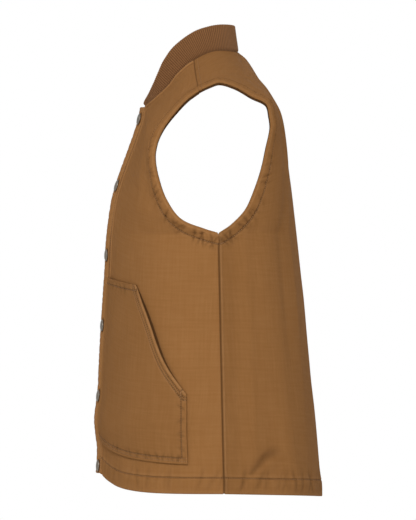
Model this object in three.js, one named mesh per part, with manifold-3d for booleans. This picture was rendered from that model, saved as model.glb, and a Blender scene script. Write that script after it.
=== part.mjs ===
// Utility work vest: a sleeveless duck-cloth shell, snapped down the front, with a ribbed
// knit stand collar and two slanted hand pockets, filled out as when it is worn.
// Millimetres. The front faces -Y, the wearer's left is +X and up is +Z. The origin lies
// centred between the shoulders, where the vest sits.
import * as THREE from "three";
import { mergeGeometries, mergeVertices } from "three/addons/utils/BufferGeometryUtils.js";
import Module from "manifold-3d";

// Main heights, measured up from the side hem unless they say otherwise
const SEAT_RISE = 679; // side hem up to the origin
const FRONT_HEM_RISE = 31; // the hem climbs this much to the centre front
const BACK_HEM_DROP = 6; // and falls this much to the centre back
const UNDERARM_RISE = 414; // side hem up to the bottom of the armhole
const ARMHOLE_HEIGHT = 241; // bottom of the armhole up to its top
const NECK_FRONT_RISE = 618; // side hem up to the front end of the neck seam
const NECK_BACK_RISE = 703; // side hem up to the neck seam at the centre back

// Reaches from the origin forward and back, and half widths from the centre
const FRONT_REACH = 199; // to the front edge at its fullest
const BACK_REACH = 166; // to the centre back at the hem
const HEM_HALF = 236; // to the side seam at the hem
const UNDERARM_HALF = 231; // to the side seam at the underarm
const SHOULDER_HALF = 214; // to the shoulder tip
const NECK_HALF = 80; // to the neck seam at the side of the neck
const ARMHOLE_AHEAD = 101; // origin forward to the front of the armhole
const ARMHOLE_BEHIND = 83; // origin back to the rear of the armhole
const SIDE_SEAM_BEHIND = 9.5; // the side seam at the hem lies this far behind the origin

// Cloth and folds
const CLOTH_WALL = 2.6;
const FOLD_WALL = 1.2; // what the turned hem and the armhole facing add inside
const HEM_TURN = 26; // width of the turned hem
const FACING_WIDTH = 17; // width of the armhole facing
const SEAM_GAP = 0.7; // between panels that are sewn together
const SOFT_FOLD = 5; // height of the strongest soft fold

// Front bands
const BAND_HALF = 19; // half the width of a front band
const BAND_WALL = 3;
const BAND_SPACE = 4; // between the two bands, where the snaps join
const BAND_TILT = 12; // degrees that the overlap stands open from the centre
const BAND_PROUD = 1; // the bands stand out this far from the panels beside them
const BAND_TOP_STEP = 1; // the band ends this far below the neck seam

// Collar
const COLLAR_HEIGHT = 44;
const COLLAR_WALL = 3.4;
const COLLAR_SEAM_GAP = 0.9;

// Pockets
const POCKET_WALL = 2.2;
const POCKET_GAP = 0.9;

// Snaps
const SNAP_COUNT = 6;
const SNAP_TOP = 20; // top of the band down to the first snap
const SNAP_FOOT = 12; // foot of the band up to the last snap
const SNAP_FIT = 0.35; // clearance round every part of a snap
const SEAT_HALF = 10; // half the length of the flat seat under a snap
const CAP_RADIUS = 8.8;
const CAP_HEIGHT = 3.2;
const CAP_RIM = 1.2;
const CAP_SHOULDER = 0.72; // where the dome bends, as a share of its radius and of its rise
const SHANK_RADIUS = 2.2;
const SOCKET_RADIUS = 6.2;
const SOCKET_DEPTH = 2.2;
const SOCKET_ROOF_WALL = 0.4;
const STUD_RADIUS = 2.5;
const STUD_FLANGE_RADIUS = 5.4;
const STUD_FLANGE_WALL = 0.7;
const SNAP_SIDES = 10;

// Numbers of grid steps
const PANEL_COLUMNS = 11;
const BAND_COLUMNS = 2;
const BAND_STEPS = 4; // between the seats of two snaps
const COLLAR_COLUMNS = 46;
const COLLAR_ROWS = 4;
const POCKET_COLUMNS = 9;
const TRACE_STEPS = 400; // for measuring the band's length

const FRONT_HEIGHT = NECK_FRONT_RISE - FRONT_HEM_RISE; // hem to neck at the centre front
const BACK_HEIGHT = NECK_BACK_RISE + BACK_HEM_DROP; // hem to neck at the centre back

// Centre front from the hem up: height share, and reach as a share of FRONT_REACH
const CENTRE_FRONT = [
  { up: 0, reach: 0.984 },
  { up: 0.064, reach: 0.977 },
  { up: 0.145, reach: 1.0 },
  { up: 0.227, reach: 0.973 },
  { up: 0.391, reach: 0.949 },
  { up: 0.554, reach: 0.918 },
  { up: 0.636, reach: 0.907 },
  { up: 0.744, reach: 0.863 },
  { up: 0.799, reach: 0.817 },
  { up: 0.908, reach: 0.704 },
  { up: 0.962, reach: 0.651 },
  { up: 1, reach: 0.631 },
];

// Centre back from the hem up: height share, and reach as a share of BACK_REACH
const CENTRE_BACK = [
  { up: 0, reach: 0.994 },
  { up: 0.037, reach: 0.984 },
  { up: 0.104, reach: 0.961 },
  { up: 0.24, reach: 0.911 },
  { up: 0.375, reach: 0.854 },
  { up: 0.533, reach: 0.781 },
  { up: 0.714, reach: 0.694 },
  { up: 0.804, reach: 0.643 },
  { up: 0.88, reach: 0.556 },
  { up: 0.952, reach: 0.369 },
  { up: 0.986, reach: 0.272 },
  { up: 1, reach: 0.201 },
];

// Armhole edge from the underarm up, in front and behind: at is the share of the edge, up
// the share of ARMHOLE_HEIGHT, reach the share of ARMHOLE_AHEAD or ARMHOLE_BEHIND, and out
// the share of the straight line from the underarm's half width to the shoulder's
const ARMHOLE_FRONT = [
  { at: 0, up: 0, reach: -0.005, out: 1 },
  { at: 0.065, up: 0.023, reach: 0.184, out: 1.0 },
  { at: 0.207, up: 0.091, reach: 0.578, out: 0.975 },
  { at: 0.339, up: 0.225, reach: 0.818, out: 0.933 },
  { at: 0.453, up: 0.359, reach: 0.942, out: 0.903 },
  { at: 0.561, up: 0.494, reach: 1.003, out: 0.886 },
  { at: 0.642, up: 0.596, reach: 0.97, out: 0.882 },
  { at: 0.729, up: 0.696, reach: 0.862, out: 0.893 },
  { at: 0.823, up: 0.793, reach: 0.7, out: 0.914 },
  { at: 0.92, up: 0.884, reach: 0.502, out: 0.944 },
  { at: 1, up: 0.944, reach: 0.31, out: 0.972 },
];
const ARMHOLE_BACK = [
  { at: 0, up: 0, reach: 0.006, out: 1 },
  { at: 0.067, up: 0.054, reach: 0.24, out: 0.995 },
  { at: 0.166, up: 0.158, reach: 0.53, out: 0.977 },
  { at: 0.266, up: 0.292, reach: 0.706, out: 0.956 },
  { at: 0.363, up: 0.427, reach: 0.836, out: 0.943 },
  { at: 0.457, up: 0.561, reach: 0.93, out: 0.939 },
  { at: 0.551, up: 0.695, reach: 1.018, out: 0.949 },
  { at: 0.606, up: 0.776, reach: 1.0, out: 0.959 },
  { at: 0.666, up: 0.86, reach: 0.935, out: 0.969 },
  { at: 0.733, up: 0.91, reach: 0.659, out: 0.985 },
  { at: 0.809, up: 0.963, reach: 0.382, out: 0.997 },
  { at: 0.894, up: 1, reach: 0.039, out: 1 },
  { at: 0.948, up: 0.977, reach: -0.18, out: 0.989 },
  { at: 1, up: 0.944, reach: -0.373, out: 0.972 },
];

// Neck seam round from the centre front: turn in degrees, and up as the share of the climb
// from its front end to the centre back
const NECK_SEAM = [
  { turn: 0, up: -0.04 },
  { turn: 14, up: 0 },
  { turn: 34, up: 0.096 },
  { turn: 51, up: 0.247 },
  { turn: 64, up: 0.415 },
  { turn: 72, up: 0.58 },
  { turn: 87, up: 0.8 },
  { turn: 105, up: 0.962 },
  { turn: 120, up: 1.03 },
  { turn: 136, up: 1.037 },
  { turn: 180, up: 1 },
];
const HEM_ROW = 1; // the panels' section at the top of the turned hem
const SHOULDER_TURN = 93; // where the shoulder seam meets the neck seam

// Collar from its front end to the centre back: how its top edge stands from the neck seam,
// in shares of COLLAR_HEIGHT
const COLLAR_STAND = [
  { turn: 14, up: 0.09, ahead: 0.05, inward: 0.0 },
  { turn: 34, up: 0.22, ahead: 0.14, inward: 0.0 },
  { turn: 51, up: 0.32, ahead: 0.3, inward: 0.03 },
  { turn: 64, up: 0.42, ahead: 0.45, inward: 0.06 },
  { turn: 72, up: 0.49, ahead: 0.5, inward: 0.08 },
  { turn: 87, up: 0.63, ahead: 0.54, inward: 0.12 },
  { turn: 105, up: 0.84, ahead: 0.38, inward: 0.15 },
  { turn: 120, up: 0.92, ahead: 0.2, inward: 0.14 },
  { turn: 136, up: 0.97, ahead: 0.11, inward: 0.08 },
  { turn: 180, up: 1, ahead: 0.14, inward: 0 },
];

// Sections of a panel from the hem to the shoulder seam, each a curve from the inner edge to
// the outer edge. inner is 0 to 1 up the centre and 1 to 2 along the neck seam, outer 0 to 1
// up the side seam and 1 to 2 round the armhole. leave and arrive are the curve's turn in
// degrees at its ends, the pulls its handles as shares of its chord, and lift makes its
// height change early on the way out
const FRONT_SECTIONS = [
  { steps: 1, inner: 0, outer: 0, leave: 10, arrive: 90, leavePull: 0.44, arrivePull: 0.4, lift: 2.4 },
  { steps: 7, inner: HEM_TURN / FRONT_HEIGHT, outer: HEM_TURN / UNDERARM_RISE, leave: 10, arrive: 90,
    leavePull: 0.44, arrivePull: 0.4, lift: 2.2 },
  { steps: 5, inner: 0.36, outer: 0.56, leave: 10, arrive: 90, leavePull: 0.44, arrivePull: 0.39, lift: 0.4 },
  { steps: 3, inner: 0.65, outer: 1, leave: 10, arrive: 90, leavePull: 0.44, arrivePull: 0.37, lift: 0 },
  { steps: 3, inner: 0.74, outer: 1.207, leave: 9, arrive: 76, leavePull: 0.42, arrivePull: 0.3, lift: 0 },
  { steps: 3, inner: 0.86, outer: 1.453, leave: 8, arrive: 58, leavePull: 0.4, arrivePull: 0.24, lift: 0 },
  { steps: 3, inner: 1, outer: 1.642, leave: 6, arrive: 42, leavePull: 0.38, arrivePull: 0.24, lift: 0 },
  { steps: 4, inner: 1.45, outer: 1.823, leave: 4, arrive: 22, leavePull: 0.34, arrivePull: 0.28, lift: 0 },
  { steps: 0, inner: 2, outer: 2, leave: 2, arrive: 4, leavePull: 0.33, arrivePull: 0.33, lift: 0 },
];
const BACK_SECTIONS = [
  { steps: 1, inner: 0, outer: 0, leave: 0, arrive: 90, leavePull: 0.46, arrivePull: 0.4, lift: 0 },
  { steps: 7, inner: HEM_TURN / BACK_HEIGHT, outer: HEM_TURN / UNDERARM_RISE, leave: 0, arrive: 90,
    leavePull: 0.46, arrivePull: 0.4, lift: 0 },
  { steps: 6, inner: 0.33, outer: 0.56, leave: 0, arrive: 90, leavePull: 0.46, arrivePull: 0.39, lift: 0 },
  { steps: 3, inner: 0.6, outer: 1, leave: 0, arrive: 90, leavePull: 0.46, arrivePull: 0.37, lift: 0 },
  { steps: 2, inner: 0.705, outer: 1.166, leave: 0, arrive: 76, leavePull: 0.44, arrivePull: 0.3, lift: 0 },
  { steps: 2, inner: 0.8, outer: 1.363, leave: 0, arrive: 60, leavePull: 0.42, arrivePull: 0.24, lift: 0 },
  { steps: 2, inner: 0.88, outer: 1.551, leave: 0, arrive: 42, leavePull: 0.4, arrivePull: 0.2, lift: 0 },
  { steps: 2, inner: 0.94, outer: 1.666, leave: 0, arrive: 28, leavePull: 0.38, arrivePull: 0.2, lift: 0 },
  { steps: 2, inner: 1, outer: 1.76, leave: 0, arrive: 16, leavePull: 0.35, arrivePull: 0.25, lift: 0 },
  { steps: 2, inner: 1.4, outer: 1.84, leave: 0, arrive: 6, leavePull: 0.33, arrivePull: 0.3, lift: 0 },
  { steps: 2, inner: 1.72, outer: 1.92, leave: 0, arrive: 0, leavePull: 0.33, arrivePull: 0.33, lift: 0 },
  { steps: 0, inner: 2, outer: 2, leave: -2, arrive: -4, leavePull: 0.33, arrivePull: 0.33, lift: 0 },
];

// Soft folds and dents: centre and half size as shares across and up the panel, and out as a
// share of SOFT_FOLD, less than nothing for a dent
const FRONT_FOLDS = [
  { across: 0.93, up: 0.5, wide: 0.05, tall: 0.26, out: 0.45 },
  { across: 0.74, up: 0.62, wide: 0.1, tall: 0.12, out: -0.5 },
  { across: 0.4, up: 0.7, wide: 0.12, tall: 0.1, out: -0.4 },
];
const BACK_FOLDS = [
  { across: 0.33, up: 0.52, wide: 0.07, tall: 0.13, out: 0.8 },
  { across: 0.47, up: 0.54, wide: 0.07, tall: 0.16, out: -0.7 },
  { across: 0.62, up: 0.72, wide: 0.1, tall: 0.1, out: -0.6 },
  { across: 0.55, up: 0.07, wide: 0.1, tall: 0.05, out: 0.9 },
  { across: 0.7, up: 0.12, wide: 0.1, tall: 0.05, out: -0.8 },
];

// Pocket sections from its bottom edge up: how far up the centre front's share of the panel
// each starts at the band and ends at the back edge, and how far across the panel it reaches
const POCKET_SECTIONS = [
  { steps: 1, frontUp: 0.073, backUp: 0.07, across: 0.82 },
  { steps: 3, frontUp: 0.106, backUp: 0.1, across: 0.82 },
  { steps: 5, frontUp: 0.26, backUp: 0.246, across: 0.817 },
  { steps: 0, frontUp: 0.532, backUp: 0.515, across: 0.43 },
];

// Colours and finishes
const DUCK = { color: 0x8f602f, roughness: 0.9, metalness: 0 };
const KNIT = { color: 0x6e4722, roughness: 0.95, metalness: 0 };
const NICKEL = { color: 0x9b9384, roughness: 0.42, metalness: 1 };

const wasm = await Module();
wasm.setup();

const radians = (degrees) => (degrees * Math.PI) / 180;
const mix = (from, to, share) => from + (to - from) * share;
const vector = (x, y, z) => new THREE.Vector3(x, y, z);

// A table's column as a smooth curve through its rows
function smooth(table, key, at, column) {
  const last = table.length - 2;
  let row = 0;
  while (row < last && at > table[row + 1][key]) row += 1;
  const slope = (a, b) => (table[b][column] - table[a][column]) / (table[b][key] - table[a][key]);
  const span = table[row + 1][key] - table[row][key];
  const share = (at - table[row][key]) / span;
  const before = slope(Math.max(row - 1, 0), row + 1) * span;
  const after = slope(row, Math.min(row + 2, table.length - 1)) * span;
  const rise = table[row + 1][column] - table[row][column];
  const bend = (before - rise) * (1 - share) - (after - rise) * share;
  return table[row][column] + rise * share + bend * share * (1 - share);
}

// The free edge of the overlap band, up from the hem
function centreFront(up) {
  const reach = smooth(CENTRE_FRONT, "up", up, "reach") * FRONT_REACH;
  return vector(0, -reach, mix(FRONT_HEM_RISE, NECK_FRONT_RISE, up) - SEAT_RISE);
}

// The centre back line, up from the hem
function centreBack(up) {
  const reach = smooth(CENTRE_BACK, "up", up, "reach") * BACK_REACH;
  return vector(0, reach, mix(-BACK_HEM_DROP, NECK_BACK_RISE, up) - SEAT_RISE);
}

// A point of a front band's outer face, across from its free edge (-1) to its sewn edge (1)
function bandPoint(across, up, depth) {
  const edge = centreFront(up);
  const x = across * BAND_HALF;
  const tilt = radians(BAND_TILT);
  const back = (x + BAND_HALF) * Math.tan(tilt) + depth / Math.cos(tilt);
  return vector(x, edge.y + back, edge.z);
}

// The front panel's inner edge beside the band
function bandSide(up) {
  const point = bandPoint(1, up, BAND_PROUD);
  point.x += SEAM_GAP;
  return point;
}

// The neck seam, round from the centre front, through the corner of the front panel and the
// top of the centre back
function neckSeam(turn) {
  const corner = bandSide(1);
  const back = centreBack(1);
  const cornerAngle = Math.asin(corner.x / NECK_HALF);
  const half = (back.y - corner.y) / (1 + Math.cos(cornerAngle));
  const middle = back.y - half;
  const up = smooth(NECK_SEAM, "turn", turn, "up");
  const angle = radians(turn);
  return vector(NECK_HALF * Math.sin(angle), middle - half * Math.cos(angle), mix(corner.z, back.z, up));
}

// The turn at which the neck seam starts, beside the band
function cornerTurn() {
  return THREE.MathUtils.radToDeg(Math.asin(bandSide(1).x / NECK_HALF));
}

// The side seam, up from the hem to the underarm
function sideSeam(up) {
  const underarm = armholeEdge(ARMHOLE_BACK, 0, ARMHOLE_BEHIND);
  return vector(
    mix(HEM_HALF, underarm.x, up),
    mix(SIDE_SEAM_BEHIND, underarm.y, up),
    mix(-SEAT_RISE, underarm.z, up),
  );
}

// The armhole edge on the wearer's left, from the underarm up: reach is less than nothing
// for the front table
function armholeEdge(table, at, reach) {
  const up = smooth(table, "at", at, "up");
  const out = smooth(table, "at", at, "out") * mix(UNDERARM_HALF, SHOULDER_HALF, up);
  const y = smooth(table, "at", at, "reach") * reach;
  return vector(out, y, UNDERARM_RISE - SEAT_RISE + up * ARMHOLE_HEIGHT);
}

// Everything that tells the front panel from the back one
const FRONT = {
  sections: FRONT_SECTIONS,
  folds: FRONT_FOLDS,
  centre: bandSide,
  neck: (share) => neckSeam(mix(cornerTurn(), SHOULDER_TURN, share)),
  armhole: (at) => armholeEdge(ARMHOLE_FRONT, at, -ARMHOLE_AHEAD),
  turnSign: 1,
};
const BACK = {
  sections: BACK_SECTIONS,
  folds: BACK_FOLDS,
  centre: centreBack,
  neck: (share) => neckSeam(mix(180, SHOULDER_TURN, share)),
  armhole: (at) => armholeEdge(ARMHOLE_BACK, at, ARMHOLE_BEHIND),
  turnSign: -1,
};

// Values of a panel's section at a row, which runs from 0 at the hem by one for each table row
function sectionAt(table, row) {
  const numbered = table.map((entry, at) => ({ ...entry, at }));
  const low = Math.min(Math.floor(row), table.length - 2);
  const share = row - low;
  const section = {};
  for (const column of ["inner", "outer"]) {
    section[column] = mix(table[low][column], table[low + 1][column], share);
  }
  for (const column of ["leave", "arrive", "leavePull", "arrivePull", "lift"]) {
    section[column] = smooth(numbered, "at", row, column);
  }
  return section;
}

// A point of a panel's outer face on the wearer's left: a cubic curve from the inner edge to
// the outer edge in plan, and a bowed line between their heights
function panelPoint(panel, row, share) {
  const section = sectionAt(panel.sections, row);
  const inner = section.inner <= 1 ? panel.centre(section.inner) : panel.neck(section.inner - 1);
  const outer = section.outer <= 1 ? sideSeam(section.outer) : panel.armhole(section.outer - 1);
  const chord = Math.hypot(outer.x - inner.x, outer.y - inner.y);
  const leave = radians(section.leave);
  const arrive = radians(section.arrive);
  const curve = new THREE.CubicBezierCurve(
    new THREE.Vector2(inner.x, inner.y),
    new THREE.Vector2(
      inner.x + chord * section.leavePull * Math.cos(leave),
      inner.y + chord * section.leavePull * Math.sin(leave) * panel.turnSign,
    ),
    new THREE.Vector2(
      outer.x - chord * section.arrivePull * Math.cos(arrive),
      outer.y - chord * section.arrivePull * Math.sin(arrive) * panel.turnSign,
    ),
    new THREE.Vector2(outer.x, outer.y),
  );
  const flat = curve.getPoint(share);
  const climb = 1 - (1 - share) ** (1 + section.lift);
  return vector(flat.x, flat.y, mix(inner.z, outer.z, climb));
}

// A panel's outward normal
function panelNormal(panel, row, share) {
  const step = 0.01;
  const rows = panel.sections.length - 1;
  const lower = panelPoint(panel, Math.max(row - step, 0), share);
  const upper = panelPoint(panel, Math.min(row + step, rows), share);
  const near = panelPoint(panel, row, Math.max(share - step, 0));
  const far = panelPoint(panel, row, Math.min(share + step, 1));
  const across = far.sub(near);
  const along = upper.sub(lower);
  const onCentre = share === 0 && near.x === 0;
  const normal = across.cross(along).multiplyScalar(panel.turnSign);
  if (onCentre) normal.x = 0;
  return normal.normalize();
}

// The normal that both panels share along the shoulder seam
function shoulderNormal(share) {
  const front = panelNormal(FRONT, FRONT_SECTIONS.length - 1, share);
  return front.add(panelNormal(BACK, BACK_SECTIONS.length - 1, share)).normalize();
}

// How far the soft folds move a panel's face out
function foldHeight(panel, row, share) {
  const up = row / (panel.sections.length - 1);
  let height = 0;
  for (const fold of panel.folds) {
    const across = (share - fold.across) / fold.wide;
    const along = (up - fold.up) / fold.tall;
    height += fold.out * SOFT_FOLD * Math.exp(-across * across - along * along);
  }
  return height;
}

// A point of a panel with its soft folds, lifted out by a clearance
function foldedPoint(panel, row, share, lift = 0) {
  const point = panelPoint(panel, row, share);
  const normal = panelNormal(panel, row, share);
  return point.addScaledVector(normal, foldHeight(panel, row, share) + lift);
}

// Rows of a table's sections, with each section's own steps
function rowStations(table) {
  const rows = [];
  table.forEach((section, index) => {
    for (let step = 0; step < section.steps; step += 1) rows.push(index + step / section.steps);
  });
  rows.push(table.length - 1);
  return rows;
}

// A panel's grid of outer points, normals and wall thicknesses. Its last column but one
// follows the facing, and its edges on other panels draw back by half a seam gap
function panelGrid(panel) {
  const rows = rowStations(panel.sections);
  const last = panel.sections.length - 1;
  const lastLength = panelPoint(panel, last - 1, 0.5).distanceTo(panelPoint(panel, last, 0.5));
  return rows.map((row) => {
    const section = sectionAt(panel.sections, row);
    const seamRow = row === last ? last - SEAM_GAP / 2 / lastLength : row;
    const start = panelPoint(panel, seamRow, 0);
    const end = panelPoint(panel, seamRow, 1);
    const length = start.distanceTo(end);
    const stop = section.outer <= 1 ? 1 - SEAM_GAP / 2 / length : 1;
    const facing = stop - FACING_WIDTH / length;
    const cells = [];
    for (let column = 0; column <= PANEL_COLUMNS; column += 1) {
      const edge = column === PANEL_COLUMNS;
      const share = edge ? stop : (facing * column) / (PANEL_COLUMNS - 1);
      const folded = (section.outer > 1 && column >= PANEL_COLUMNS - 1) || row <= HEM_ROW;
      cells.push({
        point: foldedPoint(panel, seamRow, share),
        normal: row === last ? shoulderNormal(share) : panelNormal(panel, row, share),
        wall: CLOTH_WALL + (folded ? FOLD_WALL : 0),
      });
    }
    return cells;
  });
}

// The mirror image of a geometry across the centre plane, with its faces turned to point out
function mirrored(geometry) {
  const image = geometry.clone();
  image.scale(-1, 1, 1);
  const faces = image.index.array;
  for (let at = 0; at < faces.length; at += 3) [faces[at], faces[at + 1]] = [faces[at + 1], faces[at]];
  image.computeVertexNormals();
  return image;
}

// A closed wall between a grid of outer points and the same points moved in along their
// normals. Columns run to the right and rows up, as seen from outside. Its last column's edge
// is left open over the lowest openRows cells, where a mirror image joins it
function wallGeometry(grid, openRows = 0) {
  const rows = grid.length;
  const columns = grid[0].length;
  const positions = [];
  for (const row of grid) {
    for (const { point } of row) positions.push(point.x, point.y, point.z);
  }
  for (const row of grid) {
    for (const { point, normal, wall } of row) {
      const inner = point.clone().addScaledVector(normal, -wall);
      positions.push(inner.x, inner.y, inner.z);
    }
  }
  const outer = (row, column) => row * columns + column;
  const inner = (row, column) => rows * columns + outer(row, column);
  const faces = [];
  const quad = (a, b, c, d) => faces.push(a, b, c, a, c, d);
  for (let row = 0; row < rows - 1; row += 1) {
    for (let column = 0; column < columns - 1; column += 1) {
      const [r, c] = [row + 1, column + 1];
      quad(outer(row, column), outer(row, c), outer(r, c), outer(r, column));
      quad(inner(row, column), inner(r, column), inner(r, c), inner(row, c));
    }
    const [r, c] = [row + 1, columns - 1];
    if (row >= openRows) quad(outer(row, c), inner(row, c), inner(r, c), outer(r, c));
    quad(inner(row, 0), outer(row, 0), outer(r, 0), inner(r, 0));
  }
  for (let column = 0; column < columns - 1; column += 1) {
    const [r, c] = [rows - 1, column + 1];
    quad(outer(0, c), outer(0, column), inner(0, column), inner(0, c));
    quad(outer(r, column), outer(r, c), inner(r, c), inner(r, column));
  }
  const geometry = new THREE.BufferGeometry();
  geometry.setAttribute("position", new THREE.Float32BufferAttribute(positions, 3));
  geometry.setIndex(faces);
  geometry.computeVertexNormals();
  return geometry;
}

// The back panel: seen from behind, the wearer's left half runs from its outer edge in to the
// centre, and its mirror image joins it there up to the neck seam
function backGeometry() {
  const neck = BACK_SECTIONS.findIndex((section) => section.inner === 1);
  const openRows = rowStations(BACK_SECTIONS).indexOf(neck);
  const half = wallGeometry(panelGrid(BACK).map((row) => row.reverse()), openRows);
  const halves = [half, mirrored(half)];
  for (const side of halves) side.deleteAttribute("normal");
  const whole = mergeVertices(mergeGeometries(halves), 1e-4);
  whole.computeVertexNormals();
  return whole;
}

// Lengths along the band from its foot, with the height share of each
const BAND_TRACE = bandTrace();

function bandTrace() {
  const top = 1 - BAND_TOP_STEP / FRONT_HEIGHT;
  const trace = [{ length: 0, up: 0 }];
  for (let step = 1; step <= TRACE_STEPS; step += 1) {
    const before = trace[step - 1];
    const up = (step / TRACE_STEPS) * top;
    const length = before.length + centreFront(up).distanceTo(centreFront(before.up));
    trace.push({ length, up });
  }
  return trace;
}

// The height share at a length along the band
function bandUp(length) {
  let step = 0;
  while (step < TRACE_STEPS - 1 && BAND_TRACE[step + 1].length < length) step += 1;
  const [low, high] = [BAND_TRACE[step], BAND_TRACE[step + 1]];
  return mix(low.up, high.up, (length - low.length) / (high.length - low.length));
}

// Lengths up the band at which the snaps sit, from the top one down
function snapLengths() {
  const first = BAND_TRACE[TRACE_STEPS].length - SNAP_TOP;
  return Array.from({ length: SNAP_COUNT }, (_, index) => mix(first, SNAP_FOOT, index / (SNAP_COUNT - 1)));
}

// Height shares of the band's rows: a flat seat under each snap and even steps between them
function bandRows() {
  const seats = snapLengths().reverse();
  const lengths = [0];
  seats.forEach((seat, index) => {
    const [low, high] = [seat - SEAT_HALF, seat + SEAT_HALF];
    const before = lengths[lengths.length - 1];
    const steps = index === 0 ? 1 : BAND_STEPS;
    for (let step = 1; step <= steps; step += 1) lengths.push(mix(before, low, step / steps));
    lengths.push(high);
  });
  lengths.push(BAND_TRACE[TRACE_STEPS].length);
  return lengths.map(bandUp);
}

// A front band's grid: depth is how far its outer face lies behind the overlap's
function bandGrid(depth) {
  const ahead = vector(0, -1, 0);
  const wall = BAND_WALL / Math.cos(radians(BAND_TILT));
  return bandRows().map((up) => {
    const cells = [];
    for (let column = 0; column <= BAND_COLUMNS; column += 1) {
      const across = mix(-1, 1, column / BAND_COLUMNS);
      cells.push({ point: bandPoint(across, up, depth), normal: ahead, wall });
    }
    return cells;
  });
}

// Where each snap goes through the bands: its centre on the overlap's outer face, and its axis
function snapPlaces() {
  return snapLengths().map((length) => {
    const low = bandPoint(0, bandUp(length - SEAT_HALF), 0);
    const high = bandPoint(0, bandUp(length + SEAT_HALF), 0);
    const across = vector(Math.cos(radians(BAND_TILT)), Math.sin(radians(BAND_TILT)), 0);
    const axis = across.cross(high.clone().sub(low)).normalize();
    return { centre: low.lerp(high, 0.5), axis };
  });
}

// A body turned from a profile of radius and height above the overlap's outer face
function turned(profile, place) {
  const points = profile.map(([radius, height]) => new THREE.Vector2(radius, height));
  const geometry = new THREE.LatheGeometry(points, SNAP_SIDES);
  geometry.deleteAttribute("normal");
  geometry.deleteAttribute("uv");
  const turn = new THREE.Quaternion().setFromUnitVectors(vector(0, 1, 0), place.axis);
  geometry.applyQuaternion(turn);
  geometry.translate(place.centre.x, place.centre.y, place.centre.z);
  const merged = mergeVertices(geometry, 1e-4);
  merged.computeVertexNormals();
  return merged;
}

// Levels below the overlap's outer face, down through both bands
const SOCKET_TOP = -BAND_WALL - SNAP_FIT;
const SOCKET_FOOT = SOCKET_TOP - SOCKET_DEPTH;
const UNDERLAP_FACE = -BAND_WALL - BAND_SPACE;
const STUD_SEAT = UNDERLAP_FACE + SNAP_FIT;
const UNDERLAP_BACK = UNDERLAP_FACE - BAND_WALL;
const SOCKET_ROOF = SOCKET_TOP - SOCKET_ROOF_WALL;

// Domed cap, shank through the band and the socket behind it
function capProfile() {
  const bore = STUD_RADIUS + SNAP_FIT;
  return [
    [0, SOCKET_ROOF],
    [bore, SOCKET_ROOF],
    [bore, SOCKET_FOOT],
    [SOCKET_RADIUS, SOCKET_FOOT],
    [SOCKET_RADIUS, SOCKET_TOP],
    [SHANK_RADIUS, SOCKET_TOP],
    [SHANK_RADIUS, SNAP_FIT],
    [CAP_RADIUS, SNAP_FIT],
    [CAP_RADIUS, CAP_RIM],
    [CAP_RADIUS * CAP_SHOULDER, mix(CAP_RIM, CAP_HEIGHT, CAP_SHOULDER)],
    [0, CAP_HEIGHT],
  ];
}

// Stud in the socket, its flange on the underlap, and its rivet behind
function studProfile() {
  const rivet = UNDERLAP_BACK - SNAP_FIT;
  return [
    [0, rivet - STUD_FLANGE_WALL],
    [STUD_FLANGE_RADIUS, rivet - STUD_FLANGE_WALL],
    [STUD_FLANGE_RADIUS, rivet],
    [SHANK_RADIUS, rivet],
    [SHANK_RADIUS, STUD_SEAT],
    [STUD_FLANGE_RADIUS, STUD_SEAT],
    [STUD_FLANGE_RADIUS, STUD_SEAT + STUD_FLANGE_WALL],
    [STUD_RADIUS, STUD_SEAT + STUD_FLANGE_WALL],
    [STUD_RADIUS, SOCKET_ROOF - SNAP_FIT],
    [0, SOCKET_ROOF - SNAP_FIT],
  ];
}

// The hole that a snap's shank needs through a band
function shankHole(place) {
  const radius = SHANK_RADIUS + SNAP_FIT;
  const reach = BAND_WALL + BAND_SPACE;
  return turned([[0, -2 * reach], [radius, -2 * reach], [radius, reach], [0, reach]], place);
}

// Geometry to solid and back, for cuts
function toSolid(geometry) {
  const vertProperties = Float32Array.from(geometry.attributes.position.array);
  const triVerts = Uint32Array.from(geometry.index.array);
  return new wasm.Manifold(new wasm.Mesh({ numProp: 3, vertProperties, triVerts }));
}

function toGeometry(solid) {
  const mesh = solid.getMesh();
  const geometry = new THREE.BufferGeometry();
  geometry.setAttribute("position", new THREE.BufferAttribute(mesh.vertProperties, 3));
  geometry.setIndex(new THREE.BufferAttribute(mesh.triVerts, 1));
  geometry.computeVertexNormals();
  return geometry;
}

// A band with a hole for each snap
function bandGeometry(depth, places) {
  let solid = toSolid(wallGeometry(bandGrid(depth)));
  for (const place of places) solid = solid.subtract(toSolid(shankHole(place)));
  return toGeometry(solid);
}

// The collar: round from the front end on the wearer's right, behind the neck, to the left,
// standing on the neck seam
function collarGrid() {
  const first = cornerTurn();
  const grid = [];
  for (let row = 0; row <= COLLAR_ROWS; row += 1) {
    const share = row / COLLAR_ROWS;
    const cells = [];
    for (let column = 0; column <= COLLAR_COLUMNS; column += 1) {
      const around = mix(first, 360 - first, column / COLLAR_COLUMNS);
      cells.push({ point: collarPoint(around, share), normal: collarNormal(around, share), wall: COLLAR_WALL });
    }
    grid.push(cells);
  }
  return grid;
}

// A point of the collar's outer face, at a turn round the neck and a share of its stand
function collarPoint(around, share) {
  const turn = around > 180 ? 360 - around : around;
  const side = around > 180 ? -1 : 1;
  const seam = neckSeam(turn);
  const stand = vector(
    -smooth(COLLAR_STAND, "turn", turn, "inward"),
    -smooth(COLLAR_STAND, "turn", turn, "ahead"),
    smooth(COLLAR_STAND, "turn", turn, "up"),
  ).multiplyScalar(COLLAR_HEIGHT);
  const start = COLLAR_SEAM_GAP / stand.length();
  seam.addScaledVector(stand, mix(start, 1, share));
  return vector(seam.x * side, seam.y, seam.z);
}

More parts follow.
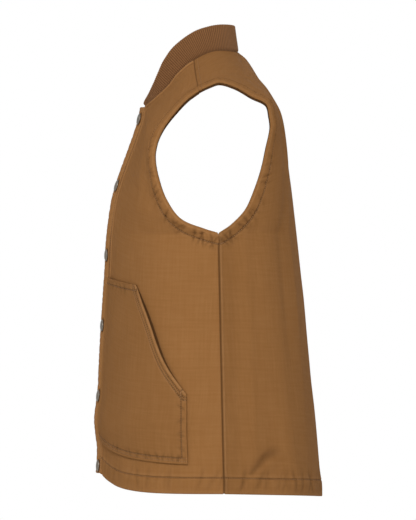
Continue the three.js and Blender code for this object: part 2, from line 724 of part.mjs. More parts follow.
function collarNormal(around, share) {
  const before = collarPoint(Math.max(around - 1, cornerTurn()), share);
  const after = collarPoint(Math.min(around + 1, 360 - cornerTurn()), share);
  const up = collarPoint(around, 1).sub(collarPoint(around, 0));
  return after.sub(before).cross(up).normalize();
}

// The row of a table whose inner column has a value
function rowAt(table, inner) {
  let low = 0;
  while (low < table.length - 2 && inner > table[low + 1].inner) low += 1;
  return low + (inner - table[low].inner) / (table[low + 1].inner - table[low].inner);
}

// A pocket on the outside of the front panel, which follows its face
function pocketGrid() {
  const rows = rowStations(POCKET_SECTIONS);
  const numbered = POCKET_SECTIONS.map((entry, at) => ({ ...entry, at }));
  return rows.map((at) => {
    const low = Math.min(Math.floor(at), POCKET_SECTIONS.length - 2);
    const value = (column) =>
      mix(numbered[low][column], numbered[low + 1][column], at - low);
    const cells = [];
    for (let column = 0; column <= POCKET_COLUMNS; column += 1) {
      const across = column / POCKET_COLUMNS;
      const row = rowAt(FRONT_SECTIONS, mix(value("frontUp"), value("backUp"), across));
      const share = value("across") * across;
      cells.push({
        point: foldedPoint(FRONT, row, share, POCKET_GAP + POCKET_WALL),
        normal: panelNormal(FRONT, row, share),
        wall: POCKET_WALL,
      });
    }
    return cells;
  });
}

const vest = new THREE.Group();

function addPiece(name, geometry, finish) {
  const mesh = new THREE.Mesh(geometry, new THREE.MeshStandardMaterial(finish));
  mesh.name = name;
  vest.add(mesh);
}

const frontPanel = wallGeometry(panelGrid(FRONT));
const pocket = wallGeometry(pocketGrid());
const places = snapPlaces();
addPiece("left_front", frontPanel, DUCK);
addPiece("right_front", mirrored(frontPanel), DUCK);
addPiece("back", backGeometry(), DUCK);
addPiece("collar", wallGeometry(collarGrid()), KNIT);
addPiece("left_placket", bandGeometry(0, places), DUCK);
addPiece("right_placket", bandGeometry(BAND_WALL + BAND_SPACE, places), DUCK);
addPiece("left_pocket", pocket, DUCK);
addPiece("right_pocket", mirrored(pocket), DUCK);
places.forEach((place, index) => {
  addPiece(`snap_cap_${index + 1}`, turned(capProfile(), place), NICKEL);
  addPiece(`snap_stud_${index + 1}`, turned(studProfile(), place), NICKEL);
});

export default vest;
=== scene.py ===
"""Utility work vest: the fine surfaces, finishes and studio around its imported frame.

Metres. The front faces -Y, the wearer's left is +X and up is +Z, with the origin centred
between the shoulders. Each piece is a surface worked out with numpy on a grid.
"""
import math
from types import SimpleNamespace

import bpy
import numpy as np
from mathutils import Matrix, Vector


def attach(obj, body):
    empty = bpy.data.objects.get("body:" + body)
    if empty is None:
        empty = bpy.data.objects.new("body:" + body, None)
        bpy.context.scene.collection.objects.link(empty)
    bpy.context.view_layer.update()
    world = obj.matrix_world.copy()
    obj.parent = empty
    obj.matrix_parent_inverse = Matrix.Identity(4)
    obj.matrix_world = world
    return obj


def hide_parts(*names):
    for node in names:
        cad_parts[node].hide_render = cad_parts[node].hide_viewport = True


bl_info = {
    "name": "Utility Work Vest",
    "version": (1, 0, 0),
    "blender": (4, 5, 0),
    "location": "View3D > Sidebar > Vest",
    "description": "Builds a duck work vest with its finishes and a plain studio",
    "category": "Object",
}

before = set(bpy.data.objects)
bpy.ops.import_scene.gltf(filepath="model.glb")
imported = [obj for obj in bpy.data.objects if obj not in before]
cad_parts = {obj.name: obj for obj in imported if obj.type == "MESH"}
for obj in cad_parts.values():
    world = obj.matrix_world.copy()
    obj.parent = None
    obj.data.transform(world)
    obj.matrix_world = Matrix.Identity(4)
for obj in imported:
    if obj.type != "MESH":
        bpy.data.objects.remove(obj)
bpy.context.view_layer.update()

# Heights, measured up from the side hem unless they say otherwise
SEAT_RISE = 0.679
FRONT_HEM_RISE = 0.031
BACK_HEM_DROP = 0.006
UNDERARM_RISE = 0.414
ARMHOLE_HEIGHT = 0.241
NECK_FRONT_RISE = 0.618
NECK_BACK_RISE = 0.703
FRONT_HEIGHT = NECK_FRONT_RISE - FRONT_HEM_RISE
BACK_HEIGHT = NECK_BACK_RISE + BACK_HEM_DROP

# Reaches from the origin forward and back, and half widths from the centre
FRONT_REACH = 0.199
BACK_REACH = 0.166
HEM_HALF = 0.236
UNDERARM_HALF = 0.231
SHOULDER_HALF = 0.214
NECK_HALF = 0.080
ARMHOLE_AHEAD = 0.101
ARMHOLE_BEHIND = 0.083
SIDE_SEAM_BEHIND = 0.0095

# Cloth, bands, collar and snaps
CLOTH_WALL = 0.0026
FOLD_WALL = 0.0012
HEM_TURN = 0.026
SEAM_GAP = 0.0007
SOFT_FOLD = 0.005
BAND_HALF = 0.019
BAND_WALL = 0.003
BAND_SPACE = 0.004
BAND_TILT = math.radians(12)  # how far a band's face turns from the front to the side
BAND_PROUD = 0.001
BAND_TOP_STEP = 0.001
COLLAR_HEIGHT = 0.044
COLLAR_WALL = 0.0034
POCKET_WALL = 0.0022
POCKET_GAP = 0.0004
SNAP_COUNT = 6
SNAP_TOP = 0.020
SNAP_FOOT = 0.012
SNAP_FIT = 0.00035
SEAT_HALF = 0.010
CAP_RADIUS = 0.0094
CAP_HEIGHT = 0.0037
SHANK_RADIUS = 0.0022
SOCKET_RADIUS = 0.0062
SOCKET_DEPTH = 0.0022
SOCKET_ROOF_WALL = 0.0004
STUD_RADIUS = 0.0025
SHOULDER_TURN = 93.0  # degrees round the neck seam, where the shoulder seam meets it

# The wearer's right is the mirror image of the left, with random seeds of its own
MIRROR = np.array((-1.0, 1.0, 1.0))
FRONT_SEEDS = {"left": 11, "right": 23}
BACK_SEED = 37
COLLAR_SEED = 41
BAND_SEEDS = {"left": 51, "right": 57}
POCKET_SEEDS = {"left": 61, "right": 67}

# Lengths that count as nothing
NO_LENGTH = 1e-12
OFF_CENTRE = 1e-9


def table(names, *rows):
    """A chart of named columns from its rows, with a column row that numbers them."""
    chart = dict(zip(names.split(), np.array(rows, float).T))
    chart["row"] = np.arange(len(rows), dtype=float)
    return chart


# Centre front and centre back from the hem up: height share, and share of the reach
CENTRE_FRONT = table(
    "up reach",
    (0, 0.984), (0.064, 0.977), (0.145, 1.0), (0.227, 0.973), (0.391, 0.949), (0.554, 0.918),
    (0.636, 0.907), (0.744, 0.863), (0.799, 0.817), (0.908, 0.704), (0.962, 0.651), (1, 0.631),
)
CENTRE_BACK = table(
    "up reach",
    (0, 0.994), (0.037, 0.984), (0.104, 0.961), (0.24, 0.911), (0.375, 0.854), (0.533, 0.781),
    (0.714, 0.694), (0.804, 0.643), (0.88, 0.556), (0.952, 0.369), (0.986, 0.272), (1, 0.201),
)

# Armhole edge from the underarm up: share of the edge, share of the height, share of the
# reach, and share of the straight line between the half widths
ARMHOLE_FRONT = table(
    "at up reach out",
    (0, 0, -0.005, 1), (0.065, 0.023, 0.184, 1.0), (0.207, 0.091, 0.578, 0.975),
    (0.339, 0.225, 0.818, 0.933), (0.453, 0.359, 0.942, 0.903), (0.561, 0.494, 1.003, 0.886),
    (0.642, 0.596, 0.97, 0.882), (0.729, 0.696, 0.862, 0.893), (0.823, 0.793, 0.7, 0.914),
    (0.92, 0.884, 0.502, 0.944), (1, 0.944, 0.31, 0.972),
)
ARMHOLE_BACK = table(
    "at up reach out",
    (0, 0, 0.006, 1), (0.067, 0.054, 0.24, 0.995), (0.166, 0.158, 0.53, 0.977),
    (0.266, 0.292, 0.706, 0.956), (0.363, 0.427, 0.836, 0.943), (0.457, 0.561, 0.93, 0.939),
    (0.551, 0.695, 1.018, 0.949), (0.606, 0.776, 1.0, 0.959), (0.666, 0.86, 0.935, 0.969),
    (0.733, 0.91, 0.659, 0.985), (0.809, 0.963, 0.382, 0.997), (0.894, 1, 0.039, 1),
    (0.948, 0.977, -0.18, 0.989), (1, 0.944, -0.373, 0.972),
)

# Neck seam round from the centre front, and how the collar's top edge stands from it
NECK_SEAM = table(
    "turn up",
    (0, -0.04), (14, 0), (34, 0.096), (51, 0.247), (64, 0.415), (72, 0.58), (87, 0.8),
    (105, 0.962), (120, 1.03), (136, 1.037), (180, 1),
)
COLLAR_STAND = table(
    "turn up ahead inward",
    (14, 0.09, 0.05, 0.0), (34, 0.22, 0.14, 0.0), (51, 0.32, 0.3, 0.03), (64, 0.42, 0.45, 0.06),
    (72, 0.49, 0.5, 0.08), (87, 0.63, 0.54, 0.12), (105, 0.84, 0.38, 0.15),
    (120, 0.92, 0.2, 0.14), (136, 0.97, 0.11, 0.08), (180, 1, 0.14, 0),
)

# Sections of a panel from the hem to the shoulder seam, each a curve from the inner edge to
# the outer edge. inner is 0 to 1 up the centre and 1 to 2 along the neck seam, outer 0 to 1
# up the side seam and 1 to 2 round the armhole
SECTION_COLUMNS = "inner outer leave arrive leave_pull arrive_pull lift"
FRONT_SECTIONS = table(
    SECTION_COLUMNS,
    (0, 0, 10, 90, 0.44, 0.4, 2.4),
    (HEM_TURN / FRONT_HEIGHT, HEM_TURN / UNDERARM_RISE, 10, 90, 0.44, 0.4, 2.2),
    (0.36, 0.56, 10, 90, 0.44, 0.39, 0.4),
    (0.65, 1, 10, 90, 0.44, 0.37, 0),
    (0.74, 1.207, 9, 76, 0.42, 0.3, 0),
    (0.86, 1.453, 8, 58, 0.4, 0.24, 0),
    (1, 1.642, 6, 42, 0.38, 0.24, 0),
    (1.45, 1.823, 4, 22, 0.34, 0.28, 0),
    (2, 2, 2, 4, 0.33, 0.33, 0),
)
BACK_SECTIONS = table(
    SECTION_COLUMNS,
    (0, 0, 0, 90, 0.46, 0.4, 0),
    (HEM_TURN / BACK_HEIGHT, HEM_TURN / UNDERARM_RISE, 0, 90, 0.46, 0.4, 0),
    (0.33, 0.56, 0, 90, 0.46, 0.39, 0),
    (0.6, 1, 0, 90, 0.46, 0.37, 0),
    (0.705, 1.166, 0, 76, 0.44, 0.3, 0),
    (0.8, 1.363, 0, 60, 0.42, 0.24, 0),
    (0.88, 1.551, 0, 42, 0.4, 0.2, 0),
    (0.94, 1.666, 0, 28, 0.38, 0.2, 0),
    (1, 1.76, 0, 16, 0.35, 0.25, 0),
    (1.4, 1.84, 0, 6, 0.33, 0.3, 0),
    (1.72, 1.92, 0, 0, 0.33, 0.33, 0),
    (2, 2, -2, -4, 0.33, 0.33, 0),
)
BACK_NECK_ROW = 8  # the section that starts where the centre meets the neck seam

# Soft folds and dents: centre and half size as shares across and up, how far a fold climbs
# across the panel, and height share
FOLD_COLUMNS = "across up wide tall climb out"
FRONT_FOLDS = table(
    FOLD_COLUMNS,
    (0.93, 0.5, 0.05, 0.26, 0, 0.45), (0.74, 0.62, 0.1, 0.12, 0, -0.5),
    (0.4, 0.7, 0.12, 0.1, 0, -0.4), (0.9, 0.19, 0.05, 0.02, 0.1, 0.25),
    (0.92, 0.165, 0.05, 0.015, 0.1, -0.25),
)
BACK_FOLDS = table(
    FOLD_COLUMNS,
    (0.33, 0.52, 0.07, 0.13, 0, 0.8), (0.47, 0.54, 0.07, 0.16, 0, -0.7),
    (0.62, 0.72, 0.1, 0.1, 0, -0.6), (0.55, 0.07, 0.1, 0.05, 0, 0.9),
    (0.7, 0.12, 0.1, 0.05, 0, -0.8), (0.76, 0.105, 0.12, 0.0045, -0.085, -0.5),
    (0.76, 0.098, 0.12, 0.005, -0.085, 0.4), (0.925, 0.19, 0.03, 0.13, 0, -0.4),
    (0.84, 0.19, 0.04, 0.13, 0, 0.5), (0.36, 0.24, 0.045, 0.09, 0, 0.5),
    (0.5, 0.24, 0.05, 0.09, 0, -0.5),
)

# Pocket sections from its bottom edge up the mouth, as shares of the front panel
POCKET_SECTIONS = table(
    "front_up back_up across",
    (0.092, 0.078, 0.82), (0.12, 0.106, 0.82), (0.26, 0.246, 0.817), (0.532, 0.515, 0.43),
)


def vector(x, y, z):
    """Points from their three coordinates, each a number or an array."""
    return np.stack(np.broadcast_arrays(x, y, z), axis=-1).astype(float)


def mix(start, end, share):
    """The value at a share of the way from start to end."""
    return start + (end - start) * share


def unit(vectors):
    """Vectors with length one, or none where there is no direction."""
    length = np.linalg.norm(vectors, axis=-1, keepdims=True)
    return vectors / np.maximum(length, NO_LENGTH)


def hump(distance, width):
    """A bell of height one: e to the minus square of the distance over the width."""
    return np.exp(-((distance / width) ** 2))


def ramp(value, start, end):
    """An eased step from 0 at start to 1 at end: 3 s squared less 2 s cubed."""
    share = np.clip((value - start) / (end - start), 0, 1)
    return share * share * (3 - 2 * share)


def smooth(chart, key, at, column):
    """A column as a smooth curve through its rows: the straight line between two rows, bent
    by the slopes across their neighbours."""
    keys, values = chart[key], chart[column]
    at = np.asarray(at, float)
    low = np.clip(np.searchsorted(keys, at) - 1, 0, len(keys) - 2)
    high = low + 1
    prior, later = np.maximum(low - 1, 0), np.minimum(high + 1, len(keys) - 1)
    span = keys[high] - keys[low]
    share = (at - keys[low]) / span
    rise = values[high] - values[low]
    before = (values[high] - values[prior]) / (keys[high] - keys[prior]) * span
    after = (values[later] - values[low]) / (keys[later] - keys[low]) * span
    bend = (before - rise) * (1 - share) - (after - rise) * share
    return values[low] + rise * share + bend * share * (1 - share)


NOISE_LATTICE = 64


def noise(seed, x, y=0.0):
    """Smooth random heights from -1 to 1: random values on a unit lattice, mixed between the
    four corners of each cell with eased shares."""
    lattice = np.random.default_rng(seed).uniform(-1, 1, (NOISE_LATTICE, NOISE_LATTICE))
    x, y = np.broadcast_arrays(np.asarray(x, float), np.asarray(y, float))
    low_x, low_y = np.floor(x).astype(int), np.floor(y).astype(int)
    share_x, share_y = ramp(x - low_x, 0, 1), ramp(y - low_y, 0, 1)

    def corner(across, up):
        return lattice[(low_x + across) % NOISE_LATTICE, (low_y + up) % NOISE_LATTICE]

    lower = mix(corner(0, 0), corner(1, 0), share_x)
    upper = mix(corner(0, 1), corner(1, 1), share_x)
    return mix(lower, upper, share_y)


def centre_front(up):
    """The free edge of the overlap band: height share up, reach from its chart."""
    reach = smooth(CENTRE_FRONT, "up", up, "reach") * FRONT_REACH
    return vector(0, -reach, mix(FRONT_HEM_RISE, NECK_FRONT_RISE, np.asarray(up)) - SEAT_RISE)


def centre_back(up):
    """The centre back line: height share up, reach from its chart."""
    reach = smooth(CENTRE_BACK, "up", up, "reach") * BACK_REACH
    return vector(0, reach, mix(-BACK_HEM_DROP, NECK_BACK_RISE, np.asarray(up)) - SEAT_RISE)


def band_point(across, up, depth):
    """A front band's face: straight across from -1 to 1, tilted back, depth behind it."""
    edge = centre_front(up)
    x = across * BAND_HALF
    back = (x + BAND_HALF) * math.tan(BAND_TILT) + depth / math.cos(BAND_TILT)
    return vector(x, edge[..., 1] + back, edge[..., 2])


def band_side(up):
    """The front panel's inner edge beside the band."""
    return band_point(1, up, BAND_PROUD) + vector(SEAM_GAP, 0, 0)


CORNER_TURN = math.degrees(math.asin((BAND_HALF + SEAM_GAP) / NECK_HALF))


def neck_seam(turn):
    """The neck seam: half an ellipse in plan through the band's corner and the centre back,
    with its climb from a chart."""
    corner, back = band_side(1), centre_back(1)
    half = (back[1] - corner[1]) / (1 + math.cos(math.radians(CORNER_TURN)))
    angle = np.radians(turn)
    climb = smooth(NECK_SEAM, "turn", turn, "up")
    y = back[1] - half - half * np.cos(angle)
    return vector(NECK_HALF * np.sin(angle), y, mix(corner[2], back[2], climb))


def armhole_edge(chart, at, reach):
    """The armhole edge on the wearer's left, with reach below nothing ahead."""
    up = smooth(chart, "at", at, "up")
    out = smooth(chart, "at", at, "out") * mix(UNDERARM_HALF, SHOULDER_HALF, up)
    y = smooth(chart, "at", at, "reach") * reach
    return vector(out, y, UNDERARM_RISE - SEAT_RISE + up * ARMHOLE_HEIGHT)


def side_seam(up):
    """The side seam: a straight line from the hem to the underarm."""
    hem = vector(HEM_HALF, SIDE_SEAM_BEHIND, -SEAT_RISE)
    underarm = armhole_edge(ARMHOLE_BACK, 0, ARMHOLE_BEHIND)
    return mix(hem, underarm, np.asarray(up, float)[..., None])


FRONT = SimpleNamespace(
    sections=FRONT_SECTIONS,
    folds=FRONT_FOLDS,
    centre=band_side,
    neck=lambda share: neck_seam(mix(CORNER_TURN, SHOULDER_TURN, share)),
    armhole=lambda at: armhole_edge(ARMHOLE_FRONT, at, -ARMHOLE_AHEAD),
    turn_sign=1,
)
BACK = SimpleNamespace(
    sections=BACK_SECTIONS,
    folds=BACK_FOLDS,
    centre=centre_back,
    neck=lambda share: neck_seam(mix(180, SHOULDER_TURN, share)),
    armhole=lambda at: armhole_edge(ARMHOLE_BACK, at, ARMHOLE_BEHIND),
    turn_sign=-1,
)


def last_row(panel):
    """The number of a panel's last section, on the shoulder seam."""
    return len(panel.sections["row"]) - 1


def edge_pair(panel, row):
    """The inner and outer edge points of a panel's section."""
    inner = np.interp(row, panel.sections["row"], panel.sections["inner"])[..., None]
    outer = np.interp(row, panel.sections["row"], panel.sections["outer"])[..., None]
    centre = panel.centre(np.clip(inner[..., 0], 0, 1))
    neck = panel.neck(np.clip(inner[..., 0] - 1, 0, 1))
    seam = side_seam(np.clip(outer[..., 0], 0, 1))
    hole = panel.armhole(np.clip(outer[..., 0] - 1, 0, 1))
    return np.where(inner <= 1, centre, neck), np.where(outer <= 1, seam, hole)


def panel_point(panel, row, share):
    """A panel's outer face: in plan a cubic Bezier curve from the inner edge to the outer
    edge, and between their heights a bowed line, one less (1 - share) to a power."""
    row, share = np.broadcast_arrays(np.asarray(row, float), np.asarray(share, float))
    inner, outer = edge_pair(panel, row)

    def value(column):
        return smooth(panel.sections, "row", row, column)

    chord = np.hypot(outer[..., 0] - inner[..., 0], outer[..., 1] - inner[..., 1])
    leave, arrive = np.radians(value("leave")), np.radians(value("arrive"))
    near, far = chord * value("leave_pull"), chord * value("arrive_pull")
    turn = panel.turn_sign
    first = (inner[..., 0] + near * np.cos(leave), inner[..., 1] + near * np.sin(leave) * turn)
    second = (outer[..., 0] - far * np.cos(arrive), outer[..., 1] - far * np.sin(arrive) * turn)
    rest = 1 - share
    weights = (rest**3, 3 * rest**2 * share, 3 * rest * share**2, share**3)
    plan = [
        weights[0] * inner[..., axis] + weights[1] * first[axis]
        + weights[2] * second[axis] + weights[3] * outer[..., axis]
        for axis in (0, 1)
    ]
    climb = 1 - rest ** (1 + value("lift"))
    return vector(plan[0], plan[1], mix(inner[..., 2], outer[..., 2], climb))


NORMAL_STEP = 0.01


def panel_normal(panel, row, share):
    """A panel's outward normal: the cross product of its slopes across and up."""
    row, share = np.broadcast_arrays(np.asarray(row, float), np.asarray(share, float))
    near = panel_point(panel, row, np.maximum(share - NORMAL_STEP, 0))
    far = panel_point(panel, row, np.minimum(share + NORMAL_STEP, 1))
    lower = panel_point(panel, np.maximum(row - NORMAL_STEP, 0), share)
    upper = panel_point(panel, np.minimum(row + NORMAL_STEP, last_row(panel)), share)
    normal = np.cross(far - near, upper - lower) * panel.turn_sign
    on_centre = (share <= 0) & (np.abs(near[..., 0]) < OFF_CENTRE)
    normal[..., 0] = np.where(on_centre, 0, normal[..., 0])
    return unit(normal)


def folded_point(panel, row, share, lift=0.0):
    """A panel's face with its soft folds: each a bell across and up it, along the normal."""
    up = row / last_row(panel)
    height = np.zeros(np.broadcast(row, share).shape)
    folds = panel.folds
    for at in range(len(folds["row"])):
        beside = share - folds["across"][at]
        above = up - folds["up"][at] - folds["climb"][at] * beside
        bell = hump(beside, folds["wide"][at]) * hump(above, folds["tall"][at])
        height = height + folds["out"][at] * SOFT_FOLD * bell
    normal = panel_normal(panel, row, share)
    return panel_point(panel, row, share) + normal * (height + lift)[..., None], normal


def lengths_along(points):
    """Lengths along a line of points from its first one."""
    steps = np.linalg.norm(np.diff(points, axis=0), axis=1)
    return np.concatenate([[0], np.cumsum(steps)])


def nearest_on(line, points):
    """Each point's distance to a line, and the length along the line where it is nearest."""
    along = lengths_along(line)
    distance, place = np.empty(points.shape[:-1]), np.empty(points.shape[:-1])
    for row, row_points in enumerate(points):
        gaps = np.linalg.norm(row_points[:, None] - line[None], axis=-1)
        nearest = gaps.argmin(axis=1)
        distance[row] = gaps[np.arange(len(nearest)), nearest]
        place[row] = along[nearest]
    return distance, place


def level_line(grid, field, level, along, spacing):
    """The line on a grid where a field has a level, as evenly spaced points and normals: its
    crossings of the grid's rows and columns, put in order by another field."""
    points, normals, order = [], [], []
    for axis in (0, 1):
        low = [slice(None)] * 2
        high = [slice(None)] * 2
        low[axis], high[axis] = slice(None, -1), slice(1, None)
        low, high = tuple(low), tuple(high)
        start, end = field[low] - level, field[high] - level
        crossed = start * end < 0
        share = (start[crossed] / (start[crossed] - end[crossed]))[:, None]
        points.append(mix(grid.outer[low][crossed], grid.outer[high][crossed], share))
        normals.append(mix(grid.normal[low][crossed], grid.normal[high][crossed], share))
        order.append(mix(along[low][crossed], along[high][crossed], share[:, 0]))
    order = np.concatenate(order)
    ranks = np.argsort(order)
    points, normals = np.concatenate(points)[ranks], np.concatenate(normals)[ranks]
    return even_line(points, normals, spacing)


def at_lengths(values, along, places):
    """A line's points or normals again at set lengths along it."""
    return np.stack([np.interp(places, along, values[:, k]) for k in range(3)], axis=-1)


def even_line(points, normals, spacing):
    """A line of points and normals again at even spacing."""
    along = lengths_along(points)
    places = np.arange(spacing / 2, along[-1], spacing)
    return at_lengths(points, along, places), unit(at_lengths(normals, along, places))


def even(line, count):
    """A line of points again with a set number of evenly spaced points."""
    along = lengths_along(line)
    return at_lengths(line, along, np.linspace(0, along[-1], count))


def grid_lengths(points):
    """Lengths across and up a grid of points, from its first column and its first row."""
    across = np.cumsum(np.linalg.norm(np.diff(points, axis=1), axis=-1), axis=1)
    up = np.cumsum(np.linalg.norm(np.diff(points, axis=0), axis=-1), axis=0)
    return np.pad(across, ((0, 0), (1, 0))), np.pad(up, ((1, 0), (0, 0)))


# Grids of the panels: how far their rounded edges draw back, and their zones, finer at the
# stitching, as start, end and spacing up from the hem, or in from the outer or inner edge.
# Rows are spaced by the length up each panel at its middle share, finer from below the
# underarm's section on
EDGE_SLACK = 0.0001
DRAW_BACK = CLOTH_WALL / 2 - EDGE_SLACK
EDGE_DRAW_BACK = (CLOTH_WALL + FOLD_WALL) / 2
HEM_ZONES = ((EDGE_DRAW_BACK, 0.0225, 0.0028), (0.0225, 0.029, 0.0009))
HEM_FINE = 0.029
BODY_SPACING = 0.0042
ARM_SPACING = 0.0028
ARM_FINE_BELOW = 0.022
OUTER_ZONES = (
    (0.030, 0.0195, 0.0019), (0.0195, 0.0135, 0.0009), (0.0135, 0.004, 0.0017), (0.004, 0, 0.0008),
)
FRONT_INNER_ZONES = ((0, 0.009, 0.0011),)
FRONT_BODY_COLUMNS = 88
BACK_BODY_COLUMNS = 66
MIDDLE_SHARE = 0.6
UNDERARM_ROW = 3
RIM_STEPS = 5

# Steps of the lines on which lengths and distances are measured
ROW_TRACE = 500
COLUMN_TRACE = 25
LINE_TRACE = 900

# Topstitching: how far each row lies from its edge, its groove, and how far off a faint row
# counts as lying at the least
ARM_STITCH = 0.0165
BAND_STITCH = 0.006
SHOULDER_STITCH = 0.0065
STITCH_DEPTH = 0.0011
STITCH_HALF = 0.0013
FAINT_STITCH = 0.0009

# Turned edges: where the fold's thickness eases out past the stitching and how much of it
# shows, the puffs, the rubbed ridge past the stitching, the rubbed edge, the rim's painted
# shade, and how far past the stitching the inner face is fully darkened by painted shade
FOLD_EASE_FROM = 0.0005
FOLD_EASE_TO = 0.0045
FOLD_SHOWS = 0.7
PUFF_HEIGHT = 0.0009
RIDGE_AT = 0.0026
RIDGE_HALF = 0.0014
RIDGE_RUB = 0.35
EDGE_RUB_AT = 0.0012
EDGE_RUB_HALF = 0.0012
EDGE_RUB = 0.7
RIM_SHADE = 0.2
INSIDE_EASE = 0.004

# Puckers that the thread draws across a turned edge: pitches, the ranges of their place,
# width and depth in a pitch, and their lean. They start before the edge, and are full and
# gone at shares of the stitching's distance from it
ARM_CREASE_PITCH = 0.0088
HEM_CREASE_PITCH = 0.019
CREASE_KINDS = 97
CREASE_PLACES = (0.15, 0.85)
CREASE_WIDTHS = (0.14, 0.26)
CREASE_DEPTHS = (0.25, 1)
CREASE_LEAN = 1.3
CREASE_DEPTH = 0.0024
PUCKER_START = -0.002
PUCKER_FULL = 0.7
PUCKER_END = 1.9

# How strong the puckers are at the hems, and at the shoulder between two heights
FRONT_PUCKERS = 0.45
BACK_PUCKERS = 0.75
SHOULDER_PUCKERS = 0.3
PUCKERS_LOW = -0.20
PUCKERS_HIGH = -0.08

# The armhole facing's hollow: its middle as a share of the stitching's distance from the
# edge, its half width, depth and shade
FACING_MIDDLE = 0.85
FACING_HOLLOW = 0.0055
FACING_DEPTH = 0.0005
FACING_SHADE = 0.3

# Worn duck's broad wave and finer ripple: lengths across and up, and heights
WAVE_ACROSS = 0.06
WAVE_UP = 0.11
BODY_WAVE = 0.0011
RIPPLE_ACROSS = 0.023
RIPPLE_UP = 0.045
RIPPLE_SHARE = 0.3

# Joins of two cloths, along which shade is painted: how far off the shoulder's flat one
# counts as lying, and those that the armhole's turned edge hides
FLAT_JOIN = 0.0005
HIDDEN_JOIN = 0.003
HIDDEN_FROM = 0.7

# The fronts beside their bands: lap, swell, hollow with its painted shade, rubbed strip, and
# the side seam's dip
BAND_LAP = 0.0015
BAND_SWELL = 0.0016
BAND_SWELL_HALF = 0.0035
BAND_SWELL_RUB = 0.9
BAND_HOLLOW = 0.0115
BAND_HOLLOW_HALF = 0.003
BAND_HOLLOW_SHARE = 0.6
BAND_HOLLOW_SHADE = 0.7
RUBBED_FRONT = 0.018
FRONT_LIGHTER = 0.18
SEAM_DIP = 0.0004
SEAM_DIP_HALF = 0.0016

# The back beside its side seam: the allowance's ridge, faded in from the armhole, and its
# tone, darkened at the seam by painted shadow that eases out behind it
SIDE_RIDGE = 0.0019
SIDE_RIDGE_AT = 0.0035
SIDE_RIDGE_HALF = 0.0017
SIDE_RIDGE_RUB = 0.9
SIDE_RIDGE_FADE = (0.004, 0.02)
SEAM_SHADOW_TONE = 0.83
BACK_TONE = 0.96
BACK_TONE_SPREAD = 0.07

# The back's slanting crease above its hem, as a line seen from the side from its upper end
# to its foot: half widths at both ends, depth, shade, and the shares between which it is full
SIDE_VIEW = (0, 1, 1)
BACK_CREASE = np.array(
    [(0, 0.1056, -0.606), (0, 0.0752, -0.620), (0, 0.0656, -0.632), (0, 0.049, -0.650)]
)
CREASE_SOFT = 0.0075
CREASE_SHARP = 0.0034
SLANT_DEPTH = 0.0022
SLANT_SHADE = 0.75
SLANT_FULL_FROM = 0.3
SLANT_FULL_TO = 0.93


def spread(zones):
    """Places through zones of start, end and spacing, each zone's end left to the next."""
    places = [np.linspace(a, b, round(abs(b - a) / step), endpoint=False) for a, b, step in zones]
    return np.concatenate(places)


def row_stations(panel):
    """Rows of a panel's grid: set spacings in the hem, up the body and beside the armhole,
    turned into row numbers by the length up the middle of the panel."""
    rows = np.linspace(0, last_row(panel), ROW_TRACE)
    along = lengths_along(panel_point(panel, rows, MIDDLE_SHARE))
    top = along[-1] - DRAW_BACK
    arm = np.interp(UNDERARM_ROW, rows, along) - ARM_FINE_BELOW
    places = spread((*HEM_ZONES, (HEM_FINE, arm, BODY_SPACING), (arm, top, ARM_SPACING)))
    return np.interp([*places, top], along, rows)


def column_stations(panel, rows, inner_draw, inner_places, count):
    """Columns of each row: at set distances from the outer and inner edges beside it, which
    draw back, and even from one to the other."""
    trace = panel_point(panel, rows[:, None], np.linspace(0, 1, COLUMN_TRACE)[None])
    length = np.linalg.norm(np.diff(trace, axis=1), axis=-1).sum(axis=1)[:, None]
    on_seam = np.interp(rows, panel.sections["row"], panel.sections["outer"]) <= 1
    draw = np.where(on_seam, DRAW_BACK, EDGE_DRAW_BACK)[:, None]
    outer_places = np.append(spread(OUTER_ZONES), 0)[None]
    outer = 1 - mix(draw, OUTER_ZONES[0][0], outer_places / OUTER_ZONES[0][0]) / length
    inner = (inner_draw[:, None] + inner_places[None]) / length
    body = mix(inner[:, -1:], outer[:, :1], np.linspace(0, 1, count + 1)[None, 1:-1])
    return np.concatenate([inner, body, outer], axis=1)


def panel_grid(panel, rows, share):
    """A panel's grid: points, normals, walls, lengths across and up it, its distances from the
    armhole, the hem, the side seam and the shoulder seam, and those from its stitching and
    from its joins, which its material reads."""
    points, normal = folded_point(panel, rows[:, None], share)
    across, up = grid_lengths(points)
    from_arm, arm_along = nearest_on(panel.armhole(np.linspace(0, 1, LINE_TRACE)), points)
    from_seam = nearest_on(side_seam(np.linspace(0, 1, LINE_TRACE)), points)[0]
    from_neck = nearest_on(panel.neck(np.linspace(0, 1, LINE_TRACE)), points)[0]
    from_hem, from_shoulder = up + EDGE_DRAW_BACK, up[-1] - up + DRAW_BACK
    joins = np.minimum.reduce([from_seam, from_neck, from_shoulder + FLAT_JOIN]) - DRAW_BACK
    joins = joins + (1 - ramp(from_arm, ARM_STITCH * HIDDEN_FROM, ARM_STITCH)) * HIDDEN_JOIN
    return SimpleNamespace(
        outer=points, normal=normal, across=across, up=up, share=share, rows=rows,
        from_arm=from_arm, arm_along=arm_along, from_seam=from_seam, from_hem=from_hem,
        from_shoulder=from_shoulder, wall=np.full(share.shape, CLOTH_WALL),
        rub=np.zeros(share.shape), crease=np.zeros(share.shape), tone=np.ones(share.shape),
        lines=[from_arm - ARM_STITCH, np.hypot(from_hem - HEM_TURN, FAINT_STITCH / 2), joins],
    )


